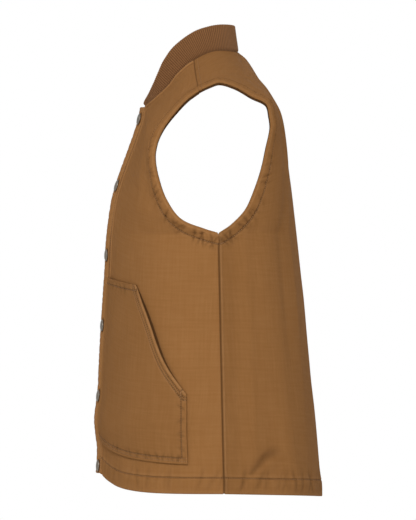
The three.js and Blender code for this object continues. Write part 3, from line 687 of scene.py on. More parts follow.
def creases(distance, along, pitch, seed):
    """Dents that thread draws across an edge, 0 to 1: bells at uneven places along it, each
    with its own lean, width and depth."""
    shift, lean, width, depth = np.random.default_rng(seed).uniform(0, 1, (4, CREASE_KINDS))
    cell = np.floor(along / pitch).astype(int)
    dent = np.zeros(along.shape)
    for beside in (-1, 0, 1):
        kind = (cell + beside) % CREASE_KINDS
        middle = (cell + beside + mix(*CREASE_PLACES, shift[kind])) * pitch
        middle = middle + (lean[kind] - 0.5) * CREASE_LEAN * distance
        bell = hump(along - middle, pitch * mix(*CREASE_WIDTHS, width[kind]))
        dent = np.maximum(dent, mix(*CREASE_DEPTHS, depth[kind]) * bell)
    return dent


def turned_edge(grid, distance, along, stitch_at, pitch, seed, puckers):
    """Turns and topstitches an edge: the fold's thickness as far as the stitching, the groove
    that the thread draws in, puckers across the fold, and puffs between them."""
    thick = 1 - ramp(distance, stitch_at + FOLD_EASE_FROM, stitch_at + FOLD_EASE_TO)
    groove = hump(distance - stitch_at, STITCH_HALF)
    fade = ramp(distance, PUCKER_START, stitch_at * PUCKER_FULL)
    fade = fade * (1 - ramp(distance, stitch_at, stitch_at * PUCKER_END))
    dent = creases(distance, along, pitch, seed) * fade * puckers
    press(grid, thick * FOLD_WALL * FOLD_SHOWS + (fade - dent) * PUFF_HEIGHT)
    press(grid, -groove * STITCH_DEPTH - dent * CREASE_DEPTH)
    # The puckers' hollows get painted shade
    grid.crease = np.maximum(grid.crease, dent)
    grid.rub = np.maximum(grid.rub, hump(distance - stitch_at - RIDGE_AT, RIDGE_HALF) * RIDGE_RUB)
    grid.wall = np.maximum(grid.wall, CLOTH_WALL + FOLD_WALL * thick)


def press(grid, height):
    """Moves a grid's face along its normals, and its inner face with it."""
    grid.outer = grid.outer + grid.normal * height[..., None]


def finish_panel(grid, seed, hem_puckers):
    """Gives a panel its turned armhole and hem edges, with fewer puckers at the shoulder, the
    facing's hollow, and the soft unevenness of worn duck."""
    height = grid.outer[..., 2]
    arm_puckers = mix(1, SHOULDER_PUCKERS, ramp(height, PUCKERS_LOW, PUCKERS_HIGH))
    turned_edge(grid, grid.from_arm, grid.arm_along, ARM_STITCH, ARM_CREASE_PITCH, seed, arm_puckers)
    turned_edge(grid, grid.from_hem, grid.across, HEM_TURN, HEM_CREASE_PITCH, seed + 2, hem_puckers)
    hollow = hump(grid.from_arm - ARM_STITCH * FACING_MIDDLE, FACING_HOLLOW) * arm_puckers
    press(grid, -hollow * FACING_DEPTH)
    grid.crease = np.maximum(grid.crease, hollow * FACING_SHADE)
    wave = noise(seed + 4, grid.across / WAVE_ACROSS, grid.up / WAVE_UP) * BODY_WAVE
    ripple = noise(seed + 5, grid.across / RIPPLE_ACROSS, grid.up / RIPPLE_UP)
    press(grid, wave + ripple * BODY_WAVE * RIPPLE_SHARE)
    edge = np.minimum(grid.from_arm, grid.from_hem) - EDGE_DRAW_BACK
    grid.rub = np.maximum(grid.rub, hump(edge - EDGE_RUB_AT, EDGE_RUB_HALF) * EDGE_RUB)


def front_grid(seed):
    """The front panel on the wearer's left: its face, which swells along the stitching beside
    the band and is rubbed there, and a dip along the side seam."""
    rows = row_stations(FRONT)
    inner_draw = np.full(len(rows), DRAW_BACK - BAND_LAP)
    share = column_stations(FRONT, rows, inner_draw, spread(FRONT_INNER_ZONES), FRONT_BODY_COLUMNS)
    grid = panel_grid(FRONT, rows, share)
    grid.under = pocket_shade(grid)
    finish_panel(grid, seed, FRONT_PUCKERS)
    from_band = grid.across + DRAW_BACK
    swell = hump(from_band - BAND_STITCH, BAND_SWELL_HALF)
    hollow = hump(from_band - BAND_HOLLOW, BAND_HOLLOW_HALF)
    press(grid, (swell - BAND_HOLLOW_SHARE * hollow) * BAND_SWELL)
    press(grid, -hump(grid.from_seam - DRAW_BACK, SEAM_DIP_HALF) * SEAM_DIP)
    grid.crease = np.maximum(grid.crease, hollow * BAND_HOLLOW_SHADE)
    grid.rub = np.maximum(grid.rub, swell * BAND_SWELL_RUB)
    grid.tone = 1 + hump(from_band, RUBBED_FRONT) * FRONT_LIGHTER
    grid.lines[2] = np.minimum(grid.lines[2], grid.across)
    grid.lines.append(from_band - BAND_STITCH)
    return grid


def slanting_crease(grid):
    """Presses the slanting crease into the back: soft at its upper end, sharper at its foot."""
    distance, place = nearest_on(even(BACK_CREASE, LINE_TRACE), grid.outer * SIDE_VIEW)
    share = place / lengths_along(BACK_CREASE)[-1]
    dent = hump(distance, mix(CREASE_SOFT, CREASE_SHARP, share))
    dent = dent * ramp(share, 0, SLANT_FULL_FROM) * (1 - ramp(share, SLANT_FULL_TO, 1))
    press(grid, -dent * SLANT_DEPTH)
    grid.crease = np.maximum(grid.crease, dent * SLANT_SHADE)


def back_grid(seed):
    """The wearer's left half of the back, whose side seam allowance stands as a low ridge. One
    row is set where the centre meets the neck seam, above which the inner edge draws back."""
    rows = row_stations(BACK)
    neck = int(np.abs(rows - BACK_NECK_ROW).argmin())
    rows[neck] = BACK_NECK_ROW
    draw = np.where(np.arange(len(rows)) > neck, DRAW_BACK, 0.0)
    share = column_stations(BACK, rows, draw, np.zeros(1), BACK_BODY_COLUMNS)
    grid = panel_grid(BACK, rows, share)
    finish_panel(grid, seed, BACK_PUCKERS)
    ridge = hump(grid.from_seam - SIDE_RIDGE_AT, SIDE_RIDGE_HALF)
    press(grid, ridge * SIDE_RIDGE * ramp(grid.from_arm, *SIDE_RIDGE_FADE))
    grid.rub = np.maximum(grid.rub, ridge * SIDE_RIDGE_RUB)
    slanting_crease(grid)
    # Painted shadow darkens the back just behind its side seam, easing out to the back's own tone
    grid.tone = mix(SEAM_SHADOW_TONE, BACK_TONE, ramp(grid.from_seam, 0, BACK_TONE_SPREAD))
    grid.lines.append(np.hypot(grid.from_shoulder - SHOULDER_STITCH, FAINT_STITCH))
    grid.neck = neck
    return grid


def grid_quads(index):
    """Quads of a grid of vertex numbers, which face out where its columns run to the right
    and its rows up, as seen from outside."""
    corners = (index[:-1, :-1], index[:-1, 1:], index[1:, 1:], index[1:, :-1])
    return np.stack(corners, axis=-1).reshape(-1, 4)


def grid_loop(index):
    """Vertex numbers round a grid: right along its foot, up, back along its top and down."""
    return np.concatenate([index[0, :-1], index[:-1, -1], index[-1, :0:-1], index[:0:-1, 0]])


def wall_mesh(outer, normal, wall, quads, loop):
    """A closed wall from flat lists of points: the outer face, the inner face a wall's
    thickness behind it, and round their loop a rim, half a circle of half the thickness.
    Returns points, quads, and the face vertex that each point comes from."""
    inner = outer - normal * wall[:, None]
    count = len(outer)
    middle = (outer[loop] + inner[loop]) / 2
    half = (outer[loop] - inner[loop]) / 2
    travel = np.roll(outer[loop], -1, axis=0) - np.roll(outer[loop], 1, axis=0)
    outward = unit(np.cross(travel, normal[loop])) * np.linalg.norm(half, axis=1, keepdims=True)
    angles = np.linspace(0, np.pi, RIM_STEPS + 1)[1:-1]
    rims = [middle + half * np.cos(angle) + outward * np.sin(angle) for angle in angles]
    rings = [loop]
    for step in range(len(rims)):
        rings.append(2 * count + step * len(loop) + np.arange(len(loop)))
    rings.append(loop + count)
    faces = [quads, (quads + count)[:, ::-1]]
    for near, far in zip(rings, rings[1:]):
        faces.append(np.stack([near, far, np.roll(far, -1), np.roll(near, -1)], axis=-1))
    source = np.concatenate([np.arange(count), np.arange(count), *[loop] * len(rims)])
    return np.concatenate([outer, inner, *rims]), np.concatenate(faces), source


def add_object(name, points, faces):
    """A mesh object from points and faces, shaded smooth, in the scene."""
    mesh = bpy.data.meshes.new(name)
    mesh.from_pydata(points.tolist(), [], faces)
    mesh.shade_smooth()
    piece = bpy.data.objects.new(name, mesh)
    bpy.context.scene.collection.objects.link(piece)
    return piece


def add_uv(piece, places):
    """A UV map in metres from each vertex's place across and up its cloth."""
    mesh = piece.data
    corners = np.empty(len(mesh.loops), int)
    mesh.loops.foreach_get("vertex_index", corners)
    layer = mesh.uv_layers.new(name=CLOTH_UV)
    layer.data.foreach_set("uv", places[corners].astype(np.float32).ravel())


def add_attribute(piece, name, values):
    """A number on each vertex, for a material to read."""
    layer = piece.data.attributes.new(name, "FLOAT", "POINT")
    layer.data.foreach_set("value", values.astype(np.float32))


# What a cloth's vertices hold for its material: its UV map, shares, and distances from its
# lines, of which the third is a join or a row drawn like one. FAR is off every line
CLOTH_UV = "cloth"
RUB = "rub"
# crease, inside and under carry painted shade: crease in puckers, creases and hollows and on rims,
# inside on the inner face, and under beside pockets' edges
CREASE = "crease"
INSIDE = "inside"
TONE = "tone"
UNDER = "under"
SHARES = (RUB, CREASE, TONE)
LINES = ("line_first", "line_second", "line_join", "line_last")
FAR = 1.0


def cloth_piece(name, grid, quads=None, loop=None, mirror=False):
    """A piece of cloth from a grid, or from flat lists with their own quads and loop: a closed
    wall with its UV map and what its material reads, or the mirror image of that wall."""
    if quads is None:
        index = np.arange(grid.tone.size).reshape(grid.tone.shape)
        quads, loop = grid_quads(index), grid_loop(index)
    points, faces, source = wall_mesh(
        grid.outer.reshape(-1, 3), grid.normal.reshape(-1, 3), grid.wall.ravel(), quads, loop
    )
    if mirror:
        points = points * MIRROR
        faces = faces[:, ::-1]
    piece = add_object(name, points, faces.tolist())
    add_uv(piece, np.stack([grid.across.ravel(), grid.up.ravel()], axis=-1)[source])
    add_masks(piece, grid, source)
    return piece


def add_masks(piece, grid, source):
    """Numbers on a wall's vertices: first its outer face's, then its inner face's and its
    rim's. The inner face has no rub, creases or lines, and past the first line it is painted
    dark as shade. The rim has its own painted shade."""
    count = grid.tone.size
    vertex = np.arange(len(source))
    behind = np.where((vertex >= count) & (vertex < 2 * count), 1.0, 0.0)
    rim = np.where(vertex >= 2 * count, RIM_SHADE, 0.0)
    past_turned = grid.lines[0].ravel()[source] if grid.lines else FAR
    add_attribute(piece, INSIDE, behind * ramp(past_turned, 0, INSIDE_EASE))
    add_attribute(piece, RUB, grid.rub.ravel()[source] * (1 - behind))
    add_attribute(piece, CREASE, np.maximum(grid.crease.ravel()[source] * (1 - behind), rim))
    add_attribute(piece, TONE, grid.tone.ravel()[source])
    add_attribute(piece, UNDER, grid.under.ravel()[source] + behind * FAR)
    for line_name, line in zip(LINES, grid.lines):
        add_attribute(piece, line_name, line.ravel()[source] + behind * FAR)


def grid_sizes(grid):
    """A grid's greatest width and length, and the area of its face."""
    across, up = np.diff(grid.outer, axis=1), np.diff(grid.outer, axis=0)
    width = np.linalg.norm(across, axis=-1).sum(axis=1).max()
    length = np.linalg.norm(up, axis=-1).sum(axis=0).max()
    first = grid.outer[1:, 1:] - grid.outer[:-1, :-1]
    second = grid.outer[1:, :-1] - grid.outer[:-1, 1:]
    area = np.linalg.norm(np.cross(first, second), axis=-1).sum() / 2
    return width, length, area


def hang(piece, slot, node, width, length, area):
    """Attaches a piece of cloth to its body and hides the node it stands for. Its slot and flat size
    are not used.
    """
    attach(piece, "root")
    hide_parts(node)


def whole_back(grid):
    """Both halves of the back as flat lists: the mirror image shares the half's centre
    vertices up to the neck seam. Seen from behind, the wearer's left half comes first."""
    rows, columns = grid.tone.shape
    left = np.arange(rows * columns).reshape(rows, columns)
    right = left + rows * columns
    right[:grid.neck + 1, 0] = left[:grid.neck + 1, 0]
    both = {name: np.tile(getattr(grid, name).ravel(), 2) for name in ("wall", "up", *SHARES)}
    outer, normal = grid.outer.reshape(-1, 3), grid.normal.reshape(-1, 3)
    whole = SimpleNamespace(
        outer=np.concatenate([outer, outer * MIRROR]),
        normal=np.concatenate([normal, normal * MIRROR]),
        across=np.concatenate([grid.across.ravel(), -grid.across.ravel()]),
        under=np.full(2 * grid.tone.size, FAR),
        lines=[np.tile(line.ravel(), 2) for line in grid.lines],
        **both,
    )
    quads = np.concatenate([grid_quads(left[:, ::-1]), grid_quads(right)])
    neck = grid.neck
    loop = np.concatenate([
        left[0, :0:-1], right[0, :-1], right[:-1, -1], right[-1, :0:-1], right[:neck:-1, 0],
        left[neck:-1, 0], left[-1, :-1], left[:0:-1, -1],
    ])
    return drop_unused(whole, quads, loop)


def drop_unused(whole, quads, loop):
    """The same lists without the vertices that no quad uses."""
    used = np.zeros(len(whole.outer), bool)
    used[quads] = True
    number = np.cumsum(used) - 1
    for name, values in vars(whole).items():
        kept = [line[used] for line in values] if name == "lines" else values[used]
        setattr(whole, name, kept)
    return whole, number[quads], number[loop]


# Ribbed collar: its ribs, its rows, the tuck of its foot behind the neck seam, and its wave
RIB_PITCH = 0.0036
RIB_HEIGHT = 0.0008
RIB_COLUMNS = 6
COLLAR_ROWS = 18
COLLAR_TRACE = 2400
COLLAR_TUCK = 0.14
COLLAR_SET_IN = 0.0030
TUCK_FADE = (-0.03, 0.1)
COLLAR_WAVE = 0.0009
COLLAR_WAVE_ALONG = 0.05
COLLAR_WAVE_UP = 0.8
COLLAR_WAVE_FADE = (0.1, 1)
COLLAR_FILLS = 0.8  # its area as a share of its width by its length
TURN_STEP = 1  # degrees to either side, for the slope round the neck


def collar_point(around, share):
    """The collar's face: from the neck seam towards its top edge by a share of its stand,
    with the wearer's right as the mirror image of the left."""
    around, share = np.broadcast_arrays(np.asarray(around, float), np.asarray(share, float))
    turn = np.where(around > 180, 360 - around, around)

    def value(column):
        return smooth(COLLAR_STAND, "turn", turn, column)

    stand = vector(-value("inward"), -value("ahead"), value("up")) * COLLAR_HEIGHT
    point = neck_seam(turn) + stand * share[..., None]
    point[..., 0] = np.where(around > 180, -point[..., 0], point[..., 0])
    return point


def collar_grid():
    """The collar's grid: ribs are a cosine along its top edge, and its foot is tucked in
    behind the neck seam."""
    first, last = CORNER_TURN, 360 - CORNER_TURN
    turns = np.linspace(first, last, COLLAR_TRACE)
    along = lengths_along(collar_point(turns, 1.0))
    ribs = round(along[-1] / RIB_PITCH)
    places = np.linspace(0, along[-1], ribs * RIB_COLUMNS + 1)
    around = np.interp(places, along, turns)[None]
    top = 1 - COLLAR_WALL / 2 / COLLAR_HEIGHT
    share = np.linspace(-COLLAR_TUCK, top, COLLAR_ROWS + 1)[:, None]
    points = collar_point(around, share)
    before = collar_point(np.maximum(around - TURN_STEP, first), share)
    after = collar_point(np.minimum(around + TURN_STEP, last), share)
    stand = collar_point(around, 1.0) - collar_point(around, 0.0)
    normal = unit(np.cross(after - before, stand))
    phase = np.arange(places.size)[None] * 2 * np.pi / RIB_COLUMNS
    full = np.zeros(points[..., 0].shape)
    rib = 0.5 + 0.5 * np.cos(phase) + full
    tuck = COLLAR_SET_IN * (1 - ramp(share, *TUCK_FADE))
    wave = noise(COLLAR_SEED, places[None] / COLLAR_WAVE_ALONG, share * COLLAR_WAVE_UP)
    wave = wave * COLLAR_WAVE * ramp(share, *COLLAR_WAVE_FADE)
    height = (rib - 1) * RIB_HEIGHT - tuck + wave
    return SimpleNamespace(
        # The knit reads rub as the ribs' crests: between them its colour is painted shade
        outer=points + normal * height[..., None], normal=normal, rub=rib,
        wall=COLLAR_WALL + (rib - 1) * RIB_HEIGHT,
        across=places[None] + full, up=share * COLLAR_HEIGHT + full,
        crease=full, tone=full + 1, under=full + FAR, lines=[],
    )


# Front bands: grid, stitching and its puckers, whose two edges differ by a shift, and wave
BAND_COLUMNS = 30
BAND_ROW_SPACING = 0.003
BAND_EDGE_STITCH = 0.0035
BAND_GROOVE_SHARE = 0.8
BAND_CREASE_PITCH = 0.009
BAND_CREASE_DEPTH = 0.0007
BAND_PUCKER_END = 0.011
BAND_EDGE_SHIFT = 0.05
BAND_WAVE = 0.0009
BAND_WAVE_ALONG = 0.06
BAND_WAVE_ACROSS = 0.6

# Their tone and rubbed strips, the reach of the flat seats round the snaps in cap radii, how
# much wider than a stitch line the shade round a cap is, and the underlap's hidden edge,
# which eases back from a share of the half width
BAND_TONE = 1.26
BAND_RUB_AT = 0.0085
BAND_RUB_HALF = 0.004
BAND_RUB = 0.4
SEAT_FLAT = 1.5
SNAP_SHADE_SPREAD = 1.8
UNDERLAP_TUCK = 0.0064
TUCK_FROM = 0.45

# Lengths up the band, and the snaps' places on it, evenly spaced from the top one down
BAND_TRACE = 401
BAND_TRACE_UP = np.linspace(0, 1 - BAND_TOP_STEP / FRONT_HEIGHT, BAND_TRACE)
BAND_TRACE_LENGTH = lengths_along(centre_front(BAND_TRACE_UP))
SNAP_LENGTHS = np.linspace(BAND_TRACE_LENGTH[-1] - SNAP_TOP, SNAP_FOOT, SNAP_COUNT)


def band_up(length):
    """The height share at a length up the band from its foot."""
    return np.interp(length, BAND_TRACE_LENGTH, BAND_TRACE_UP)


def band_grid(depth, tuck, seed):
    """A front band's grid, whose face lies depth behind the overlap's: two topstitched edges
    with puckers between them, flat seats at the snaps, and on the wearer's right an edge that
    eases back by tuck to the panel beside it."""
    top = BAND_TRACE_LENGTH[-1]
    draw = BAND_WALL / 2
    length = np.linspace(draw, top - draw, round(top / BAND_ROW_SPACING))[:, None]
    share = np.linspace(-1, 1, BAND_COLUMNS + 1)[None] * (1 - draw / BAND_HALF)
    full = np.zeros(np.broadcast(length, share).shape)
    points = band_point(share, band_up(length), depth)
    points = points + vector(0, ramp(-share, TUCK_FROM, 1) * tuck + full, 0)
    tangent = unit(np.gradient(points, axis=0))
    sideways = vector(math.cos(BAND_TILT), math.sin(BAND_TILT), 0)
    normal = unit(np.cross(np.broadcast_to(sideways, tangent.shape), tangent))
    from_edge = (1 - np.abs(share)) * BAND_HALF + full
    side = np.where(share > 0, 1.0, 0.0) + full
    length = length + full
    across = share * BAND_HALF + full
    from_snap = np.hypot(length[..., None] - SNAP_LENGTHS, across[..., None]).min(axis=-1)
    seat = 1 - ramp(from_snap, CAP_RADIUS, CAP_RADIUS * SEAT_FLAT)
    groove = hump(from_edge - BAND_EDGE_STITCH, STITCH_HALF) * STITCH_DEPTH * BAND_GROOVE_SHARE
    dent = creases(from_edge, length + side * BAND_EDGE_SHIFT, BAND_CREASE_PITCH, seed)
    dent = dent * (1 - ramp(from_edge, BAND_EDGE_STITCH, BAND_PUCKER_END))
    wave = noise(seed + 1, length / BAND_WAVE_ALONG, share * BAND_WAVE_ACROSS)
    height = (wave * BAND_WAVE - groove - dent * BAND_CREASE_DEPTH) * (1 - seat)
    return SimpleNamespace(
        outer=points + normal * height[..., None], normal=normal, wall=full + BAND_WALL,
        rub=hump(from_edge - BAND_RUB_AT, BAND_RUB_HALF) * BAND_RUB,
        crease=dent, tone=full + BAND_TONE, under=full + FAR,
        across=across, up=length, from_edge=from_edge, side=side,
        lines=[
            from_edge - BAND_EDGE_STITCH, full + FAR, from_edge - draw,
            (from_snap - CAP_RADIUS) / SNAP_SHADE_SPREAD,
        ],
    )


# Pockets: grid, the mouth's swing as a share of the panel and its lift, and the fullness
POCKET_ROWS = 140
POCKET_COLUMNS = 112
MOUTH_ROW = 2
MOUTH_BOW = 0.018
MOUTH_LIFT = 0.0015
LIFT_HALF = 0.03
LIFT_EASE = 0.045
POCKET_FULLNESS = 0.0032
FULLNESS_EASE = (0.004, 0.07)

# Their stitching: rows in from the edges, grooves, and what the turned cloth adds
POCKET_STITCH = 0.0085
POCKET_FOOT_STITCH = 0.0035
MOUTH_STITCHES = (0.0057, 0.0100)
POCKET_GROOVE_SHARE = 0.9
MOUTH_GROOVE_SHARE = 0.85
MOUTH_FOLD = 0.0009
POCKET_FOLD = 0.0007
POCKET_FOLD_EASE = 0.003

# Their puckers, which fade in from the edge and out past the stitching, and wave
POCKET_CREASE_PITCH = 0.010
POCKET_CREASE_DEPTH = 0.0007
POCKET_PUCKER_START = (0.001, 0.004)
POCKET_PUCKER_END = 0.02
POCKET_WAVE = 0.0011
POCKET_WAVE_ACROSS = 0.05
POCKET_WAVE_UP = 0.07
POCKET_WAVE_FADE = (0.005, 0.04)

# Their tone, and rubbed strips: the mouth's lip, its stitching's ridges and the sewn edges
POCKET_TONE = 0.93
LIP_RUB_AT = 0.0008
LIP_RUB_HALF = 0.0014
LIP_RUB = 1.3
MOUTH_RIDGE = 0.0022
MOUTH_RIDGE_RUB = 0.7
SEWN_RUB_AT = 0.0055
SEWN_RUB_HALF = 0.002
SEWN_RUB = 0.3

# The width of the shade beside them, and steps of the lines that distances are measured from
EDGE_SHADE = 0.0014
OUTLINE_STEPS = 120
POCKET_EDGE_TRACE = 240


def pocket_place(at, over):
    """Row and share on the front panel of a place on the pocket: a section number up it, and
    a share across it. The mouth swings in, then out, by one wave of a sine."""

    def value(column):
        return np.interp(at, POCKET_SECTIONS["row"], POCKET_SECTIONS[column])

    mouth = np.clip(at - MOUTH_ROW, 0, 1)
    reach = value("across") - MOUTH_BOW * np.sin(2 * np.pi * mouth)
    inner = mix(value("front_up"), value("back_up"), over)
    return np.interp(inner, FRONT_SECTIONS["inner"], FRONT_SECTIONS["row"]), reach * over


def pocket_shade(grid):
    """How far each point of the front panel lies outside its pocket's edge, as a share of the
    shade's width, and below nothing under the pocket."""
    step = np.linspace(0, 1, OUTLINE_STEPS)
    top = POCKET_SECTIONS["row"][-1]
    rows, shares = pocket_place(
        np.concatenate([0 * step, step * MOUTH_ROW, mix(MOUTH_ROW, top, step), 0 * step + top]),
        np.concatenate([step, 0 * step + 1, 0 * step + 1, 1 - step]),
    )
    distance = nearest_on(panel_point(FRONT, rows, shares), grid.outer)[0]
    inside = inside_outline(grid.rows[:, None] + 0 * grid.share, grid.share, rows, shares)
    return np.where(inside, -distance, distance) / EDGE_SHADE


def inside_outline(rows, shares, outline_rows, outline_shares):
    """Which points lie inside a closed outline: those with an odd number of its edges on one
    side of them."""
    ends = list(zip(np.append(outline_rows, 0), np.append(outline_shares, 0)))
    inside = np.zeros(rows.shape, bool)
    for (row_before, share_before), (row, share) in zip([ends[-1], *ends], ends):
        if row == row_before:
            continue
        crossing = share_before + (share - share_before) * (rows - row_before) / (row - row_before)
        inside ^= ((row_before > rows) != (row > rows)) & (shares < crossing)
    return inside


def pocket_grid(seed):
    """A pocket's grid on the front panel's face: it is sewn down on all sides but its slanted
    mouth, which swings and lifts, and it is a little full in the middle."""
    rise = lengths_along(centre_front(POCKET_SECTIONS["front_up"]))
    at = np.interp(np.linspace(0, rise[-1], POCKET_ROWS + 1), rise, POCKET_SECTIONS["row"])[:, None]
    over = np.linspace(0, 1, POCKET_COLUMNS + 1)[None]
    row, share = pocket_place(at, over)
    points, normal = folded_point(FRONT, row, share, POCKET_GAP + POCKET_WALL)
    mouth_from = int(np.abs(at[:, 0] - MOUTH_ROW).argmin())
    edges = {
        "foot": points[0], "back": points[:mouth_from + 1, -1],
        "mouth": points[mouth_from:, -1], "top": points[-1], "front": points[:, 0],
    }
    found = {name: nearest_on(even(line, POCKET_EDGE_TRACE), points) for name, line in edges.items()}
    across, up = grid_lengths(points)
    grid = SimpleNamespace(
        outer=points, normal=normal, wall=np.full(row.shape, POCKET_WALL), across=across, up=up,
        far={name: pair[0] for name, pair in found.items()},
        place={name: pair[1] for name, pair in found.items()},
    )
    far = grid.far
    sewn = np.minimum.reduce([far["back"], far["foot"], far["top"]])
    along = np.where(far["back"] < np.minimum(far["foot"], far["top"]), up, across)
    grid.crease = creases(sewn, along, POCKET_CREASE_PITCH, seed + 2)
    grid.crease = grid.crease * ramp(sewn, *POCKET_PUCKER_START)
    grid.crease = grid.crease * (1 - ramp(sewn, POCKET_STITCH, POCKET_PUCKER_END))
    press(grid, pocket_relief(grid, lengths_along(edges["mouth"])[-1], seed))
    press(grid, -grid.crease * POCKET_CREASE_DEPTH)
    grid.rub = hump(far["mouth"] - LIP_RUB_AT, LIP_RUB_HALF) * LIP_RUB
    grid.rub = grid.rub + hump(sewn - SEWN_RUB_AT, SEWN_RUB_HALF) * SEWN_RUB
    for stitch in MOUTH_STITCHES:
        ridge = hump(far["mouth"] - stitch - MOUTH_RIDGE, MOUTH_RIDGE / 2)
        grid.rub = grid.rub + ridge * MOUTH_RIDGE_RUB
    grid.tone = POCKET_TONE + hump(across, RUBBED_FRONT / 2) * FRONT_LIGHTER
    grid.under = np.full(row.shape, FAR)
    grid.lines = [far["mouth"] - stitch for stitch in MOUTH_STITCHES]
    grid.lines += [far["foot"] - POCKET_FOOT_STITCH, sewn - POCKET_STITCH]
    return grid


def pocket_relief(grid, mouth_length, seed):
    """Heights on a pocket: fullness that eases in from its edges, the lifted mouth, its turned
    cloth and the grooves of its topstitching, and a soft wave."""
    far = grid.far
    sewn = np.minimum.reduce([far[name] for name in ("foot", "back", "top", "front")])
    full = ramp(sewn, *FULLNESS_EASE) * POCKET_FULLNESS
    ends = np.minimum(grid.place["mouth"], mouth_length - grid.place["mouth"])
    lift = hump(far["mouth"], LIFT_HALF) * ramp(ends, 0, LIFT_EASE) * MOUTH_LIFT
    grooves = [hump(far[name] - POCKET_STITCH, STITCH_HALF) for name in ("back", "foot", "top")]
    grooves.append(hump(far["foot"] - POCKET_FOOT_STITCH, STITCH_HALF))
    for stitch in MOUTH_STITCHES:
        grooves.append(hump(far["mouth"] - stitch, STITCH_HALF * MOUTH_GROOVE_SHARE))
    groove = np.maximum.reduce(grooves) * STITCH_DEPTH * POCKET_GROOVE_SHARE
    last = MOUTH_STITCHES[1]
    mouth_fold = (1 - ramp(far["mouth"], last, last + POCKET_FOLD_EASE)) * MOUTH_FOLD
    sewn_fold = (1 - ramp(sewn, POCKET_STITCH, POCKET_STITCH + POCKET_FOLD_EASE)) * POCKET_FOLD
    wave = noise(seed + 1, grid.across / POCKET_WAVE_ACROSS, grid.up / POCKET_WAVE_UP)
    wave = wave * POCKET_WAVE * ramp(sewn, *POCKET_WAVE_FADE)
    return full + lift + np.maximum(mouth_fold, sewn_fold) + wave - groove


# Snaps: sides of their turned forms, and the cap's rim, ring and dome, with shares of the
# cap's radius and heights above the overlap's face
SNAP_SIDES = 48
CAP_RIM = 0.0024
CAP_ROUND = 0.0007
CAP_CLEAR = 0.0009
RIM_RINGS = 9
DOME_SHARE = 0.86
DOME_RINGS = 12
RING_AT = 0.8
RING_HALF = 0.06
RING_DEPTH = 0.00022


def snap_places():
    """Where each snap goes through the bands: its centre on the overlap's face, midway
    between two points up the band, and its axis square to the line through them."""
    low = band_point(0, band_up(SNAP_LENGTHS - SEAT_HALF), 0)
    high = band_point(0, band_up(SNAP_LENGTHS + SEAT_HALF), 0)
    sideways = vector(math.cos(BAND_TILT), math.sin(BAND_TILT), 0)
    axes = unit(np.cross(np.broadcast_to(sideways, low.shape), high - low))
    return (low + high) / 2, axes


def cap_profile():
    """A snap's cap as radius and height above the overlap's face: socket, shank, and a cap
    with a rolled rim, a shallow ring, and a dome that rises by one less its share of the
    radius squared."""
    socket_top = -BAND_WALL - SNAP_FIT
    roof = socket_top - SOCKET_ROOF_WALL
    bore = STUD_RADIUS + SNAP_FIT
    inside = np.array([
        (0, roof), (bore, roof), (bore, socket_top - SOCKET_DEPTH),
        (SOCKET_RADIUS, socket_top - SOCKET_DEPTH), (SOCKET_RADIUS, socket_top),
        (SHANK_RADIUS, socket_top), (SHANK_RADIUS, CAP_CLEAR),
    ])
    turn = np.radians(np.linspace(-90, 90, RIM_RINGS))
    rim_radius = CAP_RADIUS - CAP_ROUND * (1 - np.cos(turn))
    rim_height = CAP_CLEAR + CAP_ROUND + CAP_ROUND * np.sin(turn)
    share = np.linspace(DOME_SHARE, 0, DOME_RINGS)
    dome_height = CAP_RIM + (CAP_HEIGHT - CAP_RIM) * (1 - share**2)
    dome_height = dome_height - hump(share - RING_AT, RING_HALF) * RING_DEPTH
    rim = np.stack([rim_radius, rim_height], axis=-1)
    dome = np.stack([share * CAP_RADIUS, dome_height], axis=-1)
    return np.concatenate([inside, rim, dome])


def turned_mesh(name, profile, centre, axis):
    """A body turned from a profile round an axis through a centre, its poles closed."""
    angle = np.arange(SNAP_SIDES) * 2 * np.pi / SNAP_SIDES
    side = unit(np.cross(axis, (1.0, 0.0, 0.0)))
    other = np.cross(axis, side)
    spoke = np.cos(angle)[:, None] * side + np.sin(angle)[:, None] * other
    rings = profile[1:-1]
    points = centre + rings[:, :1, None] * spoke + rings[:, 1:, None] * axis
    poles = centre + profile[[0, -1], 1:] * axis
    index = np.arange(points[..., 0].size).reshape(points.shape[:2])
    near = np.concatenate([index, index[:, :1]], axis=1)
    faces = grid_quads(near).tolist()
    foot, top = index.size, index.size + 1
    faces += [(foot, b, a) for a, b in zip(near[0], near[0, 1:])]
    faces += [(top, a, b) for a, b in zip(near[-1], near[-1, 1:])]
    return add_object(name, np.concatenate([points.reshape(-1, 3), poles]), faces)


# Stitches: rings as shares of the length along and of the thread's radius
STITCH_SIDES = 6
STITCH_RINGS = ((-0.36, 0.8), (0.0, 1.0), (0.36, 0.8))
STITCH_SINK = 0.00012


